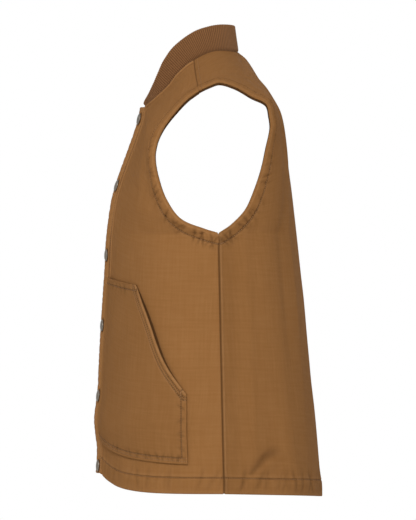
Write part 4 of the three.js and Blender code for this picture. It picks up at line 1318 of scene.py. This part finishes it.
def stitch_mesh(name, lines, length, width):
    """Stitches along lines of points and normals, as one mesh: each is three rings of points
    with a pole at each end, laid along its line and sunk in the cloth past its middle."""
    centre = np.concatenate([points for points, normals in lines])
    normal = np.concatenate([normals for points, normals in lines])
    along = unit(np.concatenate([np.gradient(points, axis=0) for points, normals in lines]))
    side = unit(np.cross(normal, along))
    centre = centre - normal * STITCH_SINK
    angle = np.arange(STITCH_SIDES) * 2 * np.pi / STITCH_SIDES
    rings = np.array(STITCH_RINGS)
    reach, radius = rings[:, 0, None] * length, rings[:, 1, None] * width / 2
    shape = np.stack([reach + 0 * angle, radius * np.cos(angle), radius * np.sin(angle)], -1)
    shape = np.concatenate([shape.reshape(-1, 3), [(-length / 2, 0, 0), (length / 2, 0, 0)]])
    axes = np.stack([along, side, normal], axis=1)
    points = centre[:, None] + np.einsum("pk,skc->spc", shape, axes)
    index = np.arange(len(rings) * STITCH_SIDES).reshape(len(rings), STITCH_SIDES)
    near = np.concatenate([index, index[:, :1]], axis=1)
    quads = grid_quads(near)[:, ::-1]
    foot, top = index.size, index.size + 1
    first = np.array([(foot, a, b) for a, b in zip(near[0], near[0, 1:])])
    last = np.array([(top, b, a) for a, b in zip(near[-1], near[-1, 1:])])
    shifts = np.arange(len(centre))[:, None, None] * len(shape)

    def repeated(faces):
        return (faces[None] + shifts).reshape(-1, faces.shape[1]).tolist()

    faces = repeated(quads) + repeated(first) + repeated(last)
    return add_object(name, points.reshape(-1, 3), faces)


def mirrored(lines):
    """Lines of points and normals on the wearer's other side."""
    return [(points * MIRROR, normals * MIRROR) for points, normals in lines]


def grid_lines(grid, rows):
    """Level lines on a grid at the stitches' pitch, one for each field, level and order."""
    pitch = bpy.context.scene.vest_stitch.pitch
    return [level_line(grid, field, level, along, pitch) for field, level, along in rows]


# Materials
def new_material(name):
    """A new material with its node tree, shader and texture coordinates."""
    material = bpy.data.materials.new(name)
    material.use_nodes = True
    tree = material.node_tree
    shader = tree.nodes["Principled BSDF"]
    place = tree.nodes.new("ShaderNodeTexCoord")
    return material, tree, shader, place


def link(tree, start, output, end, socket):
    """Joins one node's output to another's input."""
    tree.links.new(start.outputs[output], end.inputs[socket])


def set_inputs(node, values):
    """Sets a node's inputs by their names."""
    for name, value in values.items():
        node.inputs[name].default_value = value


def math_node(tree, operation, *values):
    """A math node on its inputs, each a socket or a number."""
    node = tree.nodes.new("ShaderNodeMath")
    node.operation = operation
    for socket, value in zip(node.inputs, values):
        if isinstance(value, bpy.types.NodeSocket):
            tree.links.new(value, socket)
        else:
            socket.default_value = value
    return node.outputs[0]


def noise_node(tree, vector_socket, scale, detail, stretch=(1, 1, 1)):
    """A noise texture on stretched coordinates."""
    mapping = tree.nodes.new("ShaderNodeMapping")
    texture = tree.nodes.new("ShaderNodeTexNoise")
    set_inputs(mapping, {"Scale": stretch})
    set_inputs(texture, {"Scale": scale, "Detail": detail})
    tree.links.new(vector_socket, mapping.inputs["Vector"])
    link(tree, mapping, "Vector", texture, "Vector")
    return texture.outputs["Fac"]


def mix_colour(tree, fac, first, second, blend="MIX"):
    """A colour mix of two colours or sockets by a socket or number."""
    node = tree.nodes.new("ShaderNodeMix")
    node.data_type = "RGBA"
    node.blend_type = blend
    sockets = [s for s in node.inputs if s.type == "RGBA"]
    for socket, value in zip((node.inputs["Factor"], *sockets), (fac, first, second)):
        if isinstance(value, bpy.types.NodeSocket):
            tree.links.new(value, socket)
        elif isinstance(value, float):
            socket.default_value = value
        else:
            socket.default_value = (*value, 1.0)
    return next(s for s in node.outputs if s.type == "RGBA")


def attribute_socket(tree, name):
    """The number that a mesh holds under a name."""
    node = tree.nodes.new("ShaderNodeAttribute")
    node.attribute_name = name
    return node.outputs["Fac"]


def add_bump(tree, shader, layers):
    """Bump from several heights, each with a distance in metres and a strength, one on the
    other."""
    below = None
    for height, distance, strength in layers:
        bump = tree.nodes.new("ShaderNodeBump")
        set_inputs(bump, {"Distance": distance, "Strength": strength})
        tree.links.new(height, bump.inputs["Height"])
        if below is not None:
            tree.links.new(below, bump.inputs["Normal"])
        below = bump.outputs["Normal"]
    tree.links.new(below, shader.inputs["Normal"])


def weave_height(tree, uv, pitch):
    """Plain weave: across and up, half waves of a sine for each yarn, with the one on top
    changing in a checker."""
    split = tree.nodes.new("ShaderNodeSeparateXYZ")
    tree.links.new(uv, split.inputs[0])
    yarns = []
    for axis in (0, 1):
        angle = math_node(tree, "MULTIPLY", split.outputs[axis], math.pi / pitch)
        yarns.append(math_node(tree, "ABSOLUTE", math_node(tree, "SINE", angle)))
    checker = tree.nodes.new("ShaderNodeTexChecker")
    checker.inputs["Scale"].default_value = 1 / pitch
    tree.links.new(uv, checker.inputs["Vector"])
    over = checker.outputs["Fac"]
    under = math_node(tree, "SUBTRACT", 1.0, over)
    warp = math_node(tree, "MULTIPLY", yarns[0], over)
    weft = math_node(tree, "MULTIPLY", yarns[1], under)
    return math_node(tree, "ADD", warp, weft)


# Duck: noises as scale and detail, how far slubs are drawn out along their yarn, how much
# each tone and each painted shade shows, the surface, and bumps as distance and strength
DUCK_BROAD = (7.0, 4.0)
DUCK_MOTTLE = (95.0, 5.0)
DUCK_SLUBS = (260.0, 2.0)
SLUB_DRAWN = 0.06
FLECKS_GAIN = 0.42
FLECKS_START = -0.33
MOTTLE_SHOWS = 0.3
HOLLOW_SHADE_SHOWS = 0.2
STITCH_SHADE_LEAST = 0.2
INSIDE_SHADE = 0.55
DUCK_SURFACE = {
    "Roughness": 0.92,
    "Specular IOR Level": 0.03,
    "Sheen Weight": 0.02,
    "Sheen Roughness": 0.5,
    "Sheen Tint": (0.9, 0.65, 0.4, 1),
}
STITCH_BUMP = (0.0009, 0.9)
MOTTLE_BUMP = (0.0010, 0.3)
SLUB_BUMP = (0.00018, 0.5)
WEAVE_BUMP = (0.00022, 0.7)


def duck_material(cloth):
    """Cotton duck: uneven brown dye, slubby yarns in a plain weave, paler on rubbed edges,
    and painted darker as shade between the yarns, inside, in puckers, on rims, along seams,
    beside pockets' edges and where stitching draws it in."""
    material, tree, shader, place = new_material("brown_duck")
    uv, spot = place.outputs["UV"], place.outputs["Object"]
    broad = noise_node(tree, spot, *DUCK_BROAD)
    mottle = noise_node(tree, spot, *DUCK_MOTTLE)
    warp_slub = noise_node(tree, uv, *DUCK_SLUBS, (1, SLUB_DRAWN, 1))
    weft_slub = noise_node(tree, uv, *DUCK_SLUBS, (SLUB_DRAWN, 1, 1))
    slubs = math_node(tree, "ADD", warp_slub, weft_slub)
    base = mix_colour(tree, broad, cloth.dark, cloth.light)
    flecks = math_node(tree, "MULTIPLY_ADD", slubs, FLECKS_GAIN, FLECKS_START)
    flecked = mix_colour(tree, flecks, base, cloth.fleck)
    mottles = math_node(tree, "MULTIPLY", mottle, MOTTLE_SHOWS)
    mottled = mix_colour(tree, mottles, flecked, cloth.dark)
    weave = weave_height(tree, uv, cloth.yarn_pitch)
    # Painted shade in the weave's hollows between the yarns
    hollow = math_node(tree, "MULTIPLY", math_node(tree, "SUBTRACT", 1.0, weave), HOLLOW_SHADE_SHOWS)
    woven = mix_colour(tree, hollow, mottled, cloth.shade_colour)
    rub = math_node(tree, "MULTIPLY", attribute_socket(tree, RUB), cloth.edge_wear)
    rubbed = mix_colour(tree, math_node(tree, "MULTIPLY", rub, mottle), woven, cloth.fleck)
    # The tone multiplies the colour: each piece's own tone, with painted shadow behind the back's
    # side seam
    colour = mix_colour(tree, 1.0, rubbed, attribute_socket(tree, TONE), "MULTIPLY")
    stitched, joined = stitch_masks(tree)
    # Painted shade: the colour darkens towards the shade colour along stitching, joins and round the
    # snaps, beside pockets' edges, in puckers and creases, on rims and on the inner face
    uneven = math_node(tree, "MULTIPLY", stitched, math_node(tree, "ADD", mottle, STITCH_SHADE_LEAST))
    shades = (
        (uneven, cloth.stitch_shade),
        (joined, cloth.seam_shade),
        (under_mask(tree), cloth.edge_shade),
        (attribute_socket(tree, CREASE), cloth.crease_shade),
        (attribute_socket(tree, INSIDE), INSIDE_SHADE),
    )
    for mask, strength in shades:
        shade = math_node(tree, "MULTIPLY", mask, strength)
        colour = mix_colour(tree, shade, colour, cloth.shade_colour)
    tree.links.new(colour, shader.inputs["Base Color"])
    set_inputs(shader, DUCK_SURFACE)
    flat = math_node(tree, "SUBTRACT", 1.0, stitched)
    add_bump(tree, shader, (
        (flat, *STITCH_BUMP), (mottle, *MOTTLE_BUMP), (slubs, *SLUB_BUMP), (weave, *WEAVE_BUMP),
    ))
    return material


# Half widths of the lines of painted shade along topstitching and joins
STITCH_MASK_HALF = 0.0011
JOIN_MASK_HALF = 0.0006


def line_mask(tree, name, half):
    """A bell of height one along a stitch line: e to the minus square of the distance from it
    over a half width."""
    share = math_node(tree, "DIVIDE", attribute_socket(tree, name), half)
    square = math_node(tree, "MULTIPLY", share, share)
    return math_node(tree, "EXPONENT", math_node(tree, "MULTIPLY", square, -1.0))


def stitch_masks(tree):
    """Where topstitching draws the cloth in, and where two pieces of cloth join: masks for
    the painted shade along them, the first also for the grooves' bump.
    """
    first, second, join, last = LINES
    stitched = line_mask(tree, first, STITCH_MASK_HALF)
    for name in (second, last):
        stitched = math_node(tree, "MAXIMUM", stitched, line_mask(tree, name, STITCH_MASK_HALF))
    return stitched, line_mask(tree, join, JOIN_MASK_HALF)


def under_mask(tree):
    """The shade beside and under a pocket's edge, from 1 at the edge to 0 at its width."""
    node = tree.nodes.new("ShaderNodeMapRange")
    node.interpolation_type = "SMOOTHSTEP"
    set_inputs(node, {"From Min": 0.0, "From Max": 1.0, "To Min": 1.0, "To Max": 0.0})
    tree.links.new(attribute_socket(tree, UNDER), node.inputs["Value"])
    return node.outputs["Result"]


# Rib knit: noises as scale and detail, how much they show, the surface and the bumps
KNIT_BROAD = (30.0, 4.0)
KNIT_WOOL = (700.0, 3.0)
BROAD_SHOWS = 0.4
WOOL_SHOWS = 0.3
KNIT_SURFACE = {
    "Roughness": 0.95,
    "Specular IOR Level": 0.2,
    "Sheen Weight": 0.3,
    "Sheen Tint": (0.8, 0.6, 0.42, 1),
}
LOOP_BUMP = (0.0002, 0.5)
WOOL_BUMP = (0.0004, 0.5)


def knit_material(knit):
    """Rib knit: painted shade darkens the channels between ribs, with fine loops along each rib."""
    material, tree, shader, place = new_material("brown_rib_knit")
    spot = place.outputs["Object"]
    broad = noise_node(tree, spot, *KNIT_BROAD)
    wool = noise_node(tree, spot, *KNIT_WOOL)
    base = mix_colour(tree, attribute_socket(tree, RUB), knit.channel, knit.crest)
    patches = math_node(tree, "MULTIPLY", broad, BROAD_SHOWS)
    hairs = math_node(tree, "MULTIPLY", wool, WOOL_SHOWS)
    varied = mix_colour(tree, patches, base, knit.channel)
    colour = mix_colour(tree, hairs, varied, knit.crest)
    tree.links.new(colour, shader.inputs["Base Color"])
    split = tree.nodes.new("ShaderNodeSeparateXYZ")
    tree.links.new(place.outputs["UV"], split.inputs[0])
    angle = math_node(tree, "MULTIPLY", split.outputs[1], 2 * math.pi / knit.loop_pitch)
    loops = math_node(tree, "SINE", angle)
    set_inputs(shader, KNIT_SURFACE)
    add_bump(tree, shader, ((loops, *LOOP_BUMP), (wool, *WOOL_BUMP)))
    return material


# Thread and metal: noises as scale and detail, surfaces and bumps
THREAD_TONE = (300.0, 2.0)
THREAD_TWIST = (1500.0, 1.0)
THREAD_BUMP = (0.0002, 0.4)
THREAD_SURFACE = {"Roughness": 0.7}
METAL_PATCHES = (420.0, 4.0)
METAL_SCRATCHES = (900.0, 2.0)
SCRATCH_DRAWN = 0.15
METAL_ROUGH_SPREAD = 0.25
METAL_ROUGH_LEAST = 0.3
METAL_BUMP = (0.0001, 0.3)
METAL_SURFACE = {"Metallic": 1.0}


def thread_material(cloth):
    """Topstitching thread: tonal brown with a faint twist."""
    material, tree, shader, place = new_material("brown_thread")
    spot = place.outputs["Object"]
    tone = noise_node(tree, spot, *THREAD_TONE)
    colour = mix_colour(tree, tone, cloth.thread, cloth.fleck)
    tree.links.new(colour, shader.inputs["Base Color"])
    set_inputs(shader, THREAD_SURFACE)
    add_bump(tree, shader, ((noise_node(tree, spot, *THREAD_TWIST), *THREAD_BUMP),))
    return material


def metal_material(metal):
    """Antiqued snap metal: satin, with darker tarnish in patches and fine scratches."""
    material, tree, shader, place = new_material("antique_nickel")
    spot = place.outputs["Object"]
    patches = noise_node(tree, spot, *METAL_PATCHES)
    scratches = noise_node(tree, spot, *METAL_SCRATCHES, (1, SCRATCH_DRAWN, 1))
    colour = mix_colour(tree, patches, metal.tarnish, metal.bright)
    rough = math_node(tree, "MULTIPLY_ADD", scratches, METAL_ROUGH_SPREAD, METAL_ROUGH_LEAST)
    tree.links.new(colour, shader.inputs["Base Color"])
    tree.links.new(rough, shader.inputs["Roughness"])
    set_inputs(shader, METAL_SURFACE)
    add_bump(tree, shader, ((scratches, *METAL_BUMP),))
    return material


# Sizes and colours that a user would change
def colour_property(name, description, default):
    """A colour in a property group."""
    return bpy.props.FloatVectorProperty(
        name=name, description=description, default=default, size=3, subtype="COLOR", min=0, max=1
    )


def length_property(name, description, default):
    """A small length in a property group."""
    return bpy.props.FloatProperty(
        name=name, description=description, default=default, unit="LENGTH",
        min=default / 10, max=default * 10, precision=5,
    )


def share_property(name, description, default):
    """A share from 0 to 1 in a property group."""
    return bpy.props.FloatProperty(
        name=name, description=description, default=default, min=0, max=1, subtype="FACTOR"
    )


class VestClothSettings(bpy.types.PropertyGroup):
    """The duck cloth's yarn and colours"""

    yarn_pitch: length_property("Yarn pitch", "Spacing of the yarns in the weave", 0.0008)
    light: colour_property("Light", "Lighter tone of the dye", (0.335, 0.152, 0.049))
    dark: colour_property("Dark", "Darker tone of the dye", (0.27, 0.12, 0.037))
    # The colour that painted shade darkens the duck towards: in the weave's hollows, on the inner
    # face, in puckers, creases and hollows, on rims, along stitching and joins, round the snaps and
    # beside pockets' edges
    shade_colour: colour_property("Deep", "Tone between the yarns and inside", (0.06, 0.026, 0.010))
    fleck: colour_property("Fleck", "Pale tone of slubs and rubbed edges", (0.46, 0.235, 0.095))
    thread: colour_property("Thread", "Tone of the topstitching", (0.30, 0.145, 0.056))
    edge_wear: share_property("Edge wear", "How far rubbed edges turn pale", 0.8)
    stitch_shade: share_property("Stitch shade", "How dark the stitching's grooves are", 0.9)
    seam_shade: share_property("Seam shade", "How dark the gaps between two cloths are", 0.46)
    edge_shade: share_property("Edge shade", "How dark the cloth is under a pocket's edge", 0.75)
    crease_shade: share_property("Crease shade", "How dark the puckers' hollows are", 0.5)


class VestKnitSettings(bpy.types.PropertyGroup):
    """The collar's knit"""

    loop_pitch: length_property("Loop pitch", "Spacing of the loops along a rib", 0.0013)
    crest: colour_property("Crest", "Tone of the ribs", (0.27, 0.12, 0.042))
    # Painted shade in the channels between the ribs; broad patches darken towards it too
    channel: colour_property("Channel", "Tone between the ribs", (0.10, 0.042, 0.015))


class VestStitchSettings(bpy.types.PropertyGroup):
    """Topstitching"""

    pitch: length_property("Pitch", "Start of one stitch to the start of the next", 0.0038)
    length: length_property("Length", "Length of a stitch on top of the cloth", 0.0030)
    width: length_property("Width", "Width of the thread", 0.00075)


class VestMetalSettings(bpy.types.PropertyGroup):
    """The snaps' metal"""

    bright: colour_property("Bright", "Clean metal", (0.50, 0.45, 0.38))
    tarnish: colour_property("Tarnish", "Darkened metal", (0.22, 0.18, 0.14))


class VestStageSettings(bpy.types.PropertyGroup):
    """The studio"""

    camera_distance: bpy.props.FloatProperty(
        name="Camera distance", description="From the vest's middle to the camera",
        default=31.0, unit="LENGTH", min=2, max=40,
    )
    picture_height: bpy.props.FloatProperty(
        name="Picture height", description="Height that the picture shows at the vest",
        default=0.832, unit="LENGTH", min=0.3, max=3,
    )
    key: bpy.props.FloatProperty(
        name="Key light", description="Power of the large light on the camera's side",
        default=150.0, unit="POWER", min=0,
    )
    room: bpy.props.FloatProperty(
        name="Room light", description="Brightness of the white room", default=0.41, min=0,
    )


FINISHES = {
    "duck": (duck_material, "vest_cloth"),
    "thread": (thread_material, "vest_cloth"),
    "knit": (knit_material, "vest_knit"),
    "metal": (metal_material, "vest_metal"),
}
MADE = {}  # materials by finish, once they are made


def dress(piece, finish):
    """Gives a piece its one material, which is made once from its settings."""
    if finish not in MADE:
        maker, group = FINISHES[finish]
        MADE[finish] = maker(getattr(bpy.context.scene, group))
    piece.data.materials.clear()
    piece.data.materials.append(MADE[finish])


def add_stitches(name, lines):
    """A piece of topstitching along lines of points and normals."""
    settings = bpy.context.scene.vest_stitch
    piece = stitch_mesh(name, lines, settings.length, settings.width)
    dress(piece, "thread")
    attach(piece, "root")


def sided_piece(side, form, grid, rows):
    """A front or a pocket with its topstitching. On the wearer's right it is the mirror image
    of one on the left."""
    right = side == "right"
    piece = cloth_piece(f"{side}_{form}_cloth", grid, mirror=right)
    dress(piece, "duck")
    hang(piece, "duck", f"{side}_{form}", *grid_sizes(grid))
    lines = grid_lines(grid, rows)
    add_stitches(f"{side}_{form}_stitches", mirrored(lines) if right else lines)


class VestFronts(bpy.types.Operator):
    """Builds both front panels and their topstitching"""

    bl_idname = "vest.fronts"
    bl_label = "Front Panels"

    def execute(self, context):
        for side, seed in FRONT_SEEDS.items():
            grid = front_grid(seed)
            rows = (
                (grid.from_arm, ARM_STITCH, grid.arm_along),
                (grid.from_hem, HEM_TURN, grid.across),
                (grid.across + DRAW_BACK, BAND_STITCH, grid.up),
            )
            sided_piece(side, "front", grid, rows)
        return {"FINISHED"}


class VestBack(bpy.types.Operator):
    """Builds the back panel and its topstitching"""

    bl_idname = "vest.back"
    bl_label = "Back Panel"

    def execute(self, context):
        grid = back_grid(BACK_SEED)
        width, length, area = grid_sizes(grid)
        piece = cloth_piece("back_cloth", *whole_back(grid))
        dress(piece, "duck")
        hang(piece, "duck", "back", 2 * width, length, 2 * area)
        lines = grid_lines(grid, (
            (grid.from_arm, ARM_STITCH, grid.arm_along),
            (grid.from_hem, HEM_TURN, grid.across),
            (grid.from_shoulder, SHOULDER_STITCH, grid.across),
        ))
        add_stitches("back_stitches", lines + mirrored(lines))
        return {"FINISHED"}


class VestCollar(bpy.types.Operator):
    """Builds the ribbed knit collar"""

    bl_idname = "vest.collar"
    bl_label = "Knit Collar"

    def execute(self, context):
        grid = collar_grid()
        piece = cloth_piece("collar_knit", grid)
        dress(piece, "knit")
        width = grid.across.max()
        length = COLLAR_HEIGHT * (1 + COLLAR_TUCK)
        hang(piece, "rib_knit", "collar", width, length, width * length * COLLAR_FILLS)
        return {"FINISHED"}


class VestBands(bpy.types.Operator):
    """Builds the two front bands and their topstitching"""

    bl_idname = "vest.bands"
    bl_label = "Front Bands"

    def execute(self, context):
        underlap = BAND_WALL + BAND_SPACE
        for side, depth, tuck in (("left", 0, 0), ("right", underlap, UNDERLAP_TUCK)):
            grid = band_grid(depth, tuck, BAND_SEEDS[side])
            piece = cloth_piece(f"{side}_band_cloth", grid)
            dress(piece, "duck")
            hang(piece, "duck", f"{side}_placket", *grid_sizes(grid))
            rows = []
            for edge in (0, 1):
                from_edge = np.where(grid.side == edge, grid.from_edge, FAR)
                rows.append((from_edge, BAND_EDGE_STITCH, grid.up))
            add_stitches(f"{side}_band_stitches", grid_lines(grid, rows))
        return {"FINISHED"}


class VestPockets(bpy.types.Operator):
    """Builds the two hand pockets and their topstitching"""

    bl_idname = "vest.pockets"
    bl_label = "Hand Pockets"

    def execute(self, context):
        for side, seed in POCKET_SEEDS.items():
            grid = pocket_grid(seed)
            far, place = grid.far, grid.place
            rows = [(far[edge], POCKET_STITCH, place[edge]) for edge in ("back", "foot", "top")]
            rows.append((far["foot"], POCKET_FOOT_STITCH, place["foot"]))
            rows += [(far["mouth"], stitch, place["mouth"]) for stitch in MOUTH_STITCHES]
            sided_piece(side, "pocket", grid, rows)
        return {"FINISHED"}


class VestSnaps(bpy.types.Operator):
    """Builds the six snap caps and finishes the studs"""

    bl_idname = "vest.snaps"
    bl_label = "Snaps"

    def execute(self, context):
        for number, (centre, axis) in enumerate(zip(*snap_places()), start=1):
            cap = turned_mesh(f"snap_head_{number}", cap_profile(), centre, axis)
            dress(cap, "metal")
            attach(cap, "root")
            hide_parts(f"snap_cap_{number}")
            dress(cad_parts[f"snap_stud_{number}"], "metal")
        return {"FINISHED"}


# Studio: the picture's middle, the floor, and the lights as name, place, size and share of
# the key light's power
VIEW_MIDDLE = (0.0, -0.016, -0.307)
SENSOR = 36.0
FLOOR_DROP = 1.45
FLOOR_RADIUS = 16.0
FLOOR_SIDES = 96
FLOOR_NOISE = (1.5, 3.0)
FLOOR_DARK = (0.86, 0.86, 0.85)
FLOOR_LIGHT = (0.9, 0.9, 0.89)
FLOOR_SURFACE = {"Roughness": 0.8}
WHITE = (1, 1, 1, 1)
LIGHTS = (
    ("key", (4.6, -0.5, 1.9), 1.6, 1.0),
    ("fill_front", (1.2, -4.6, 3.0), 2.6, 0.26),
    ("fill_far", (-4.6, 1.0, 1.5), 2.6, 0.3),
    ("fill_back", (1.2, 4.6, 3.0), 2.6, 0.24),
)


def room_world(strength):
    """A white room: white where the camera looks past the vest, and softer as light."""
    world = bpy.data.worlds.new("white_room")
    world.use_nodes = True
    tree = world.node_tree
    tree.nodes.clear()
    seen = tree.nodes.new("ShaderNodeBackground")
    lit = tree.nodes.new("ShaderNodeBackground")
    set_inputs(seen, {"Color": WHITE, "Strength": 1.0})
    set_inputs(lit, {"Color": WHITE, "Strength": strength})
    ray = tree.nodes.new("ShaderNodeLightPath")
    blend = tree.nodes.new("ShaderNodeMixShader")
    output = tree.nodes.new("ShaderNodeOutputWorld")
    link(tree, ray, "Is Camera Ray", blend, "Fac")
    tree.links.new(lit.outputs[0], blend.inputs[1])
    tree.links.new(seen.outputs[0], blend.inputs[2])
    tree.links.new(blend.outputs[0], output.inputs["Surface"])
    bpy.context.scene.world = world


def add_floor():
    """A pale round floor well below the vest."""
    angle = np.arange(FLOOR_SIDES) * 2 * np.pi / FLOOR_SIDES
    rim = vector(FLOOR_RADIUS * np.cos(angle), FLOOR_RADIUS * np.sin(angle), -FLOOR_DROP)
    floor = add_object("pale_floor", rim, [tuple(range(FLOOR_SIDES))])
    material, tree, shader, place = new_material("pale_floor")
    tone = noise_node(tree, place.outputs["Object"], *FLOOR_NOISE)
    tree.links.new(mix_colour(tree, tone, FLOOR_DARK, FLOOR_LIGHT), shader.inputs["Base Color"])
    set_inputs(shader, FLOOR_SURFACE)
    floor.data.materials.append(material)


def add_light(name, place, aim, size, power):
    """A square area light at a place, turned to its aim."""
    light = bpy.data.lights.new(name, "AREA")
    light.energy = power
    light.size = size
    lamp = bpy.data.objects.new(name, light)
    lamp.location = place
    lamp.rotation_euler = turn_to(place, aim)
    bpy.context.scene.collection.objects.link(lamp)


def turn_to(place, aim):
    """The turn that points an object's -Z from a place to its aim, with +Z up."""
    return (Vector(aim) - Vector(place)).to_track_quat("-Z", "Y").to_euler()


def add_camera(distance, picture_height):
    """The camera level with the picture's middle, on the wearer's left."""
    camera = bpy.data.cameras.new("camera")
    camera.sensor_fit = "VERTICAL"
    camera.sensor_height = SENSOR
    camera.lens = SENSOR * distance / picture_height
    camera.clip_end = distance + 2 * FLOOR_RADIUS
    holder = bpy.data.objects.new("camera", camera)
    holder.location = (distance, VIEW_MIDDLE[1], VIEW_MIDDLE[2])
    holder.rotation_euler = turn_to(holder.location, VIEW_MIDDLE)
    bpy.context.scene.collection.objects.link(holder)
    bpy.context.scene.camera = holder


class VestStage(bpy.types.Operator):
    """Sets up the floor, the white room, the lights and the camera"""

    bl_idname = "vest.stage"
    bl_label = "Stage"

    def execute(self, context):
        settings = context.scene.vest_stage
        context.scene.view_settings.view_transform = "Standard"
        room_world(settings.room)
        add_floor()
        for name, place, size, share in LIGHTS:
            add_light(name, place, VIEW_MIDDLE, size, settings.key * share)
        add_camera(settings.camera_distance, settings.picture_height)
        return {"FINISHED"}


STEPS = (VestFronts, VestBack, VestCollar, VestBands, VestPockets, VestSnaps, VestStage)
GROUPS = {
    "vest_cloth": VestClothSettings,
    "vest_knit": VestKnitSettings,
    "vest_stitch": VestStitchSettings,
    "vest_metal": VestMetalSettings,
    "vest_stage": VestStageSettings,
}


class VestPanel(bpy.types.Panel):
    """Lists the vest's steps and settings"""

    bl_idname = "VIEW3D_PT_vest"
    bl_label = "Utility Work Vest"
    bl_space_type = "VIEW_3D"
    bl_region_type = "UI"
    bl_category = "Vest"

    def draw(self, context):
        for step in STEPS:
            self.layout.operator(step.bl_idname)
        for name, group in GROUPS.items():
            box = self.layout.box()
            for setting in group.__annotations__:
                box.prop(getattr(context.scene, name), setting)


def register():
    """Registers the settings, each with its place on the scene, the steps and the panel."""
    for group in GROUPS.values():
        bpy.utils.register_class(group)
    for name, group in GROUPS.items():
        setattr(bpy.types.Scene, name, bpy.props.PointerProperty(type=group))
    for step in (*STEPS, VestPanel):
        bpy.utils.register_class(step)


def unregister():
    """Takes them away again, last to first."""
    for step in (VestPanel, *reversed(STEPS)):
        bpy.utils.unregister_class(step)
    for name, group in reversed(GROUPS.items()):
        delattr(bpy.types.Scene, name)
        bpy.utils.unregister_class(group)


def corners(box):
    """A box's two corners as plain lists of numbers."""
    return [[float(value) for value in corner] for corner in box]


def main():
    """Registers the add-on and runs its steps in order."""
    register()
    for step in STEPS:
        group, name = step.bl_idname.split(".")
        getattr(getattr(bpy.ops, group), name)()


if __name__ == "__main__":
    main()
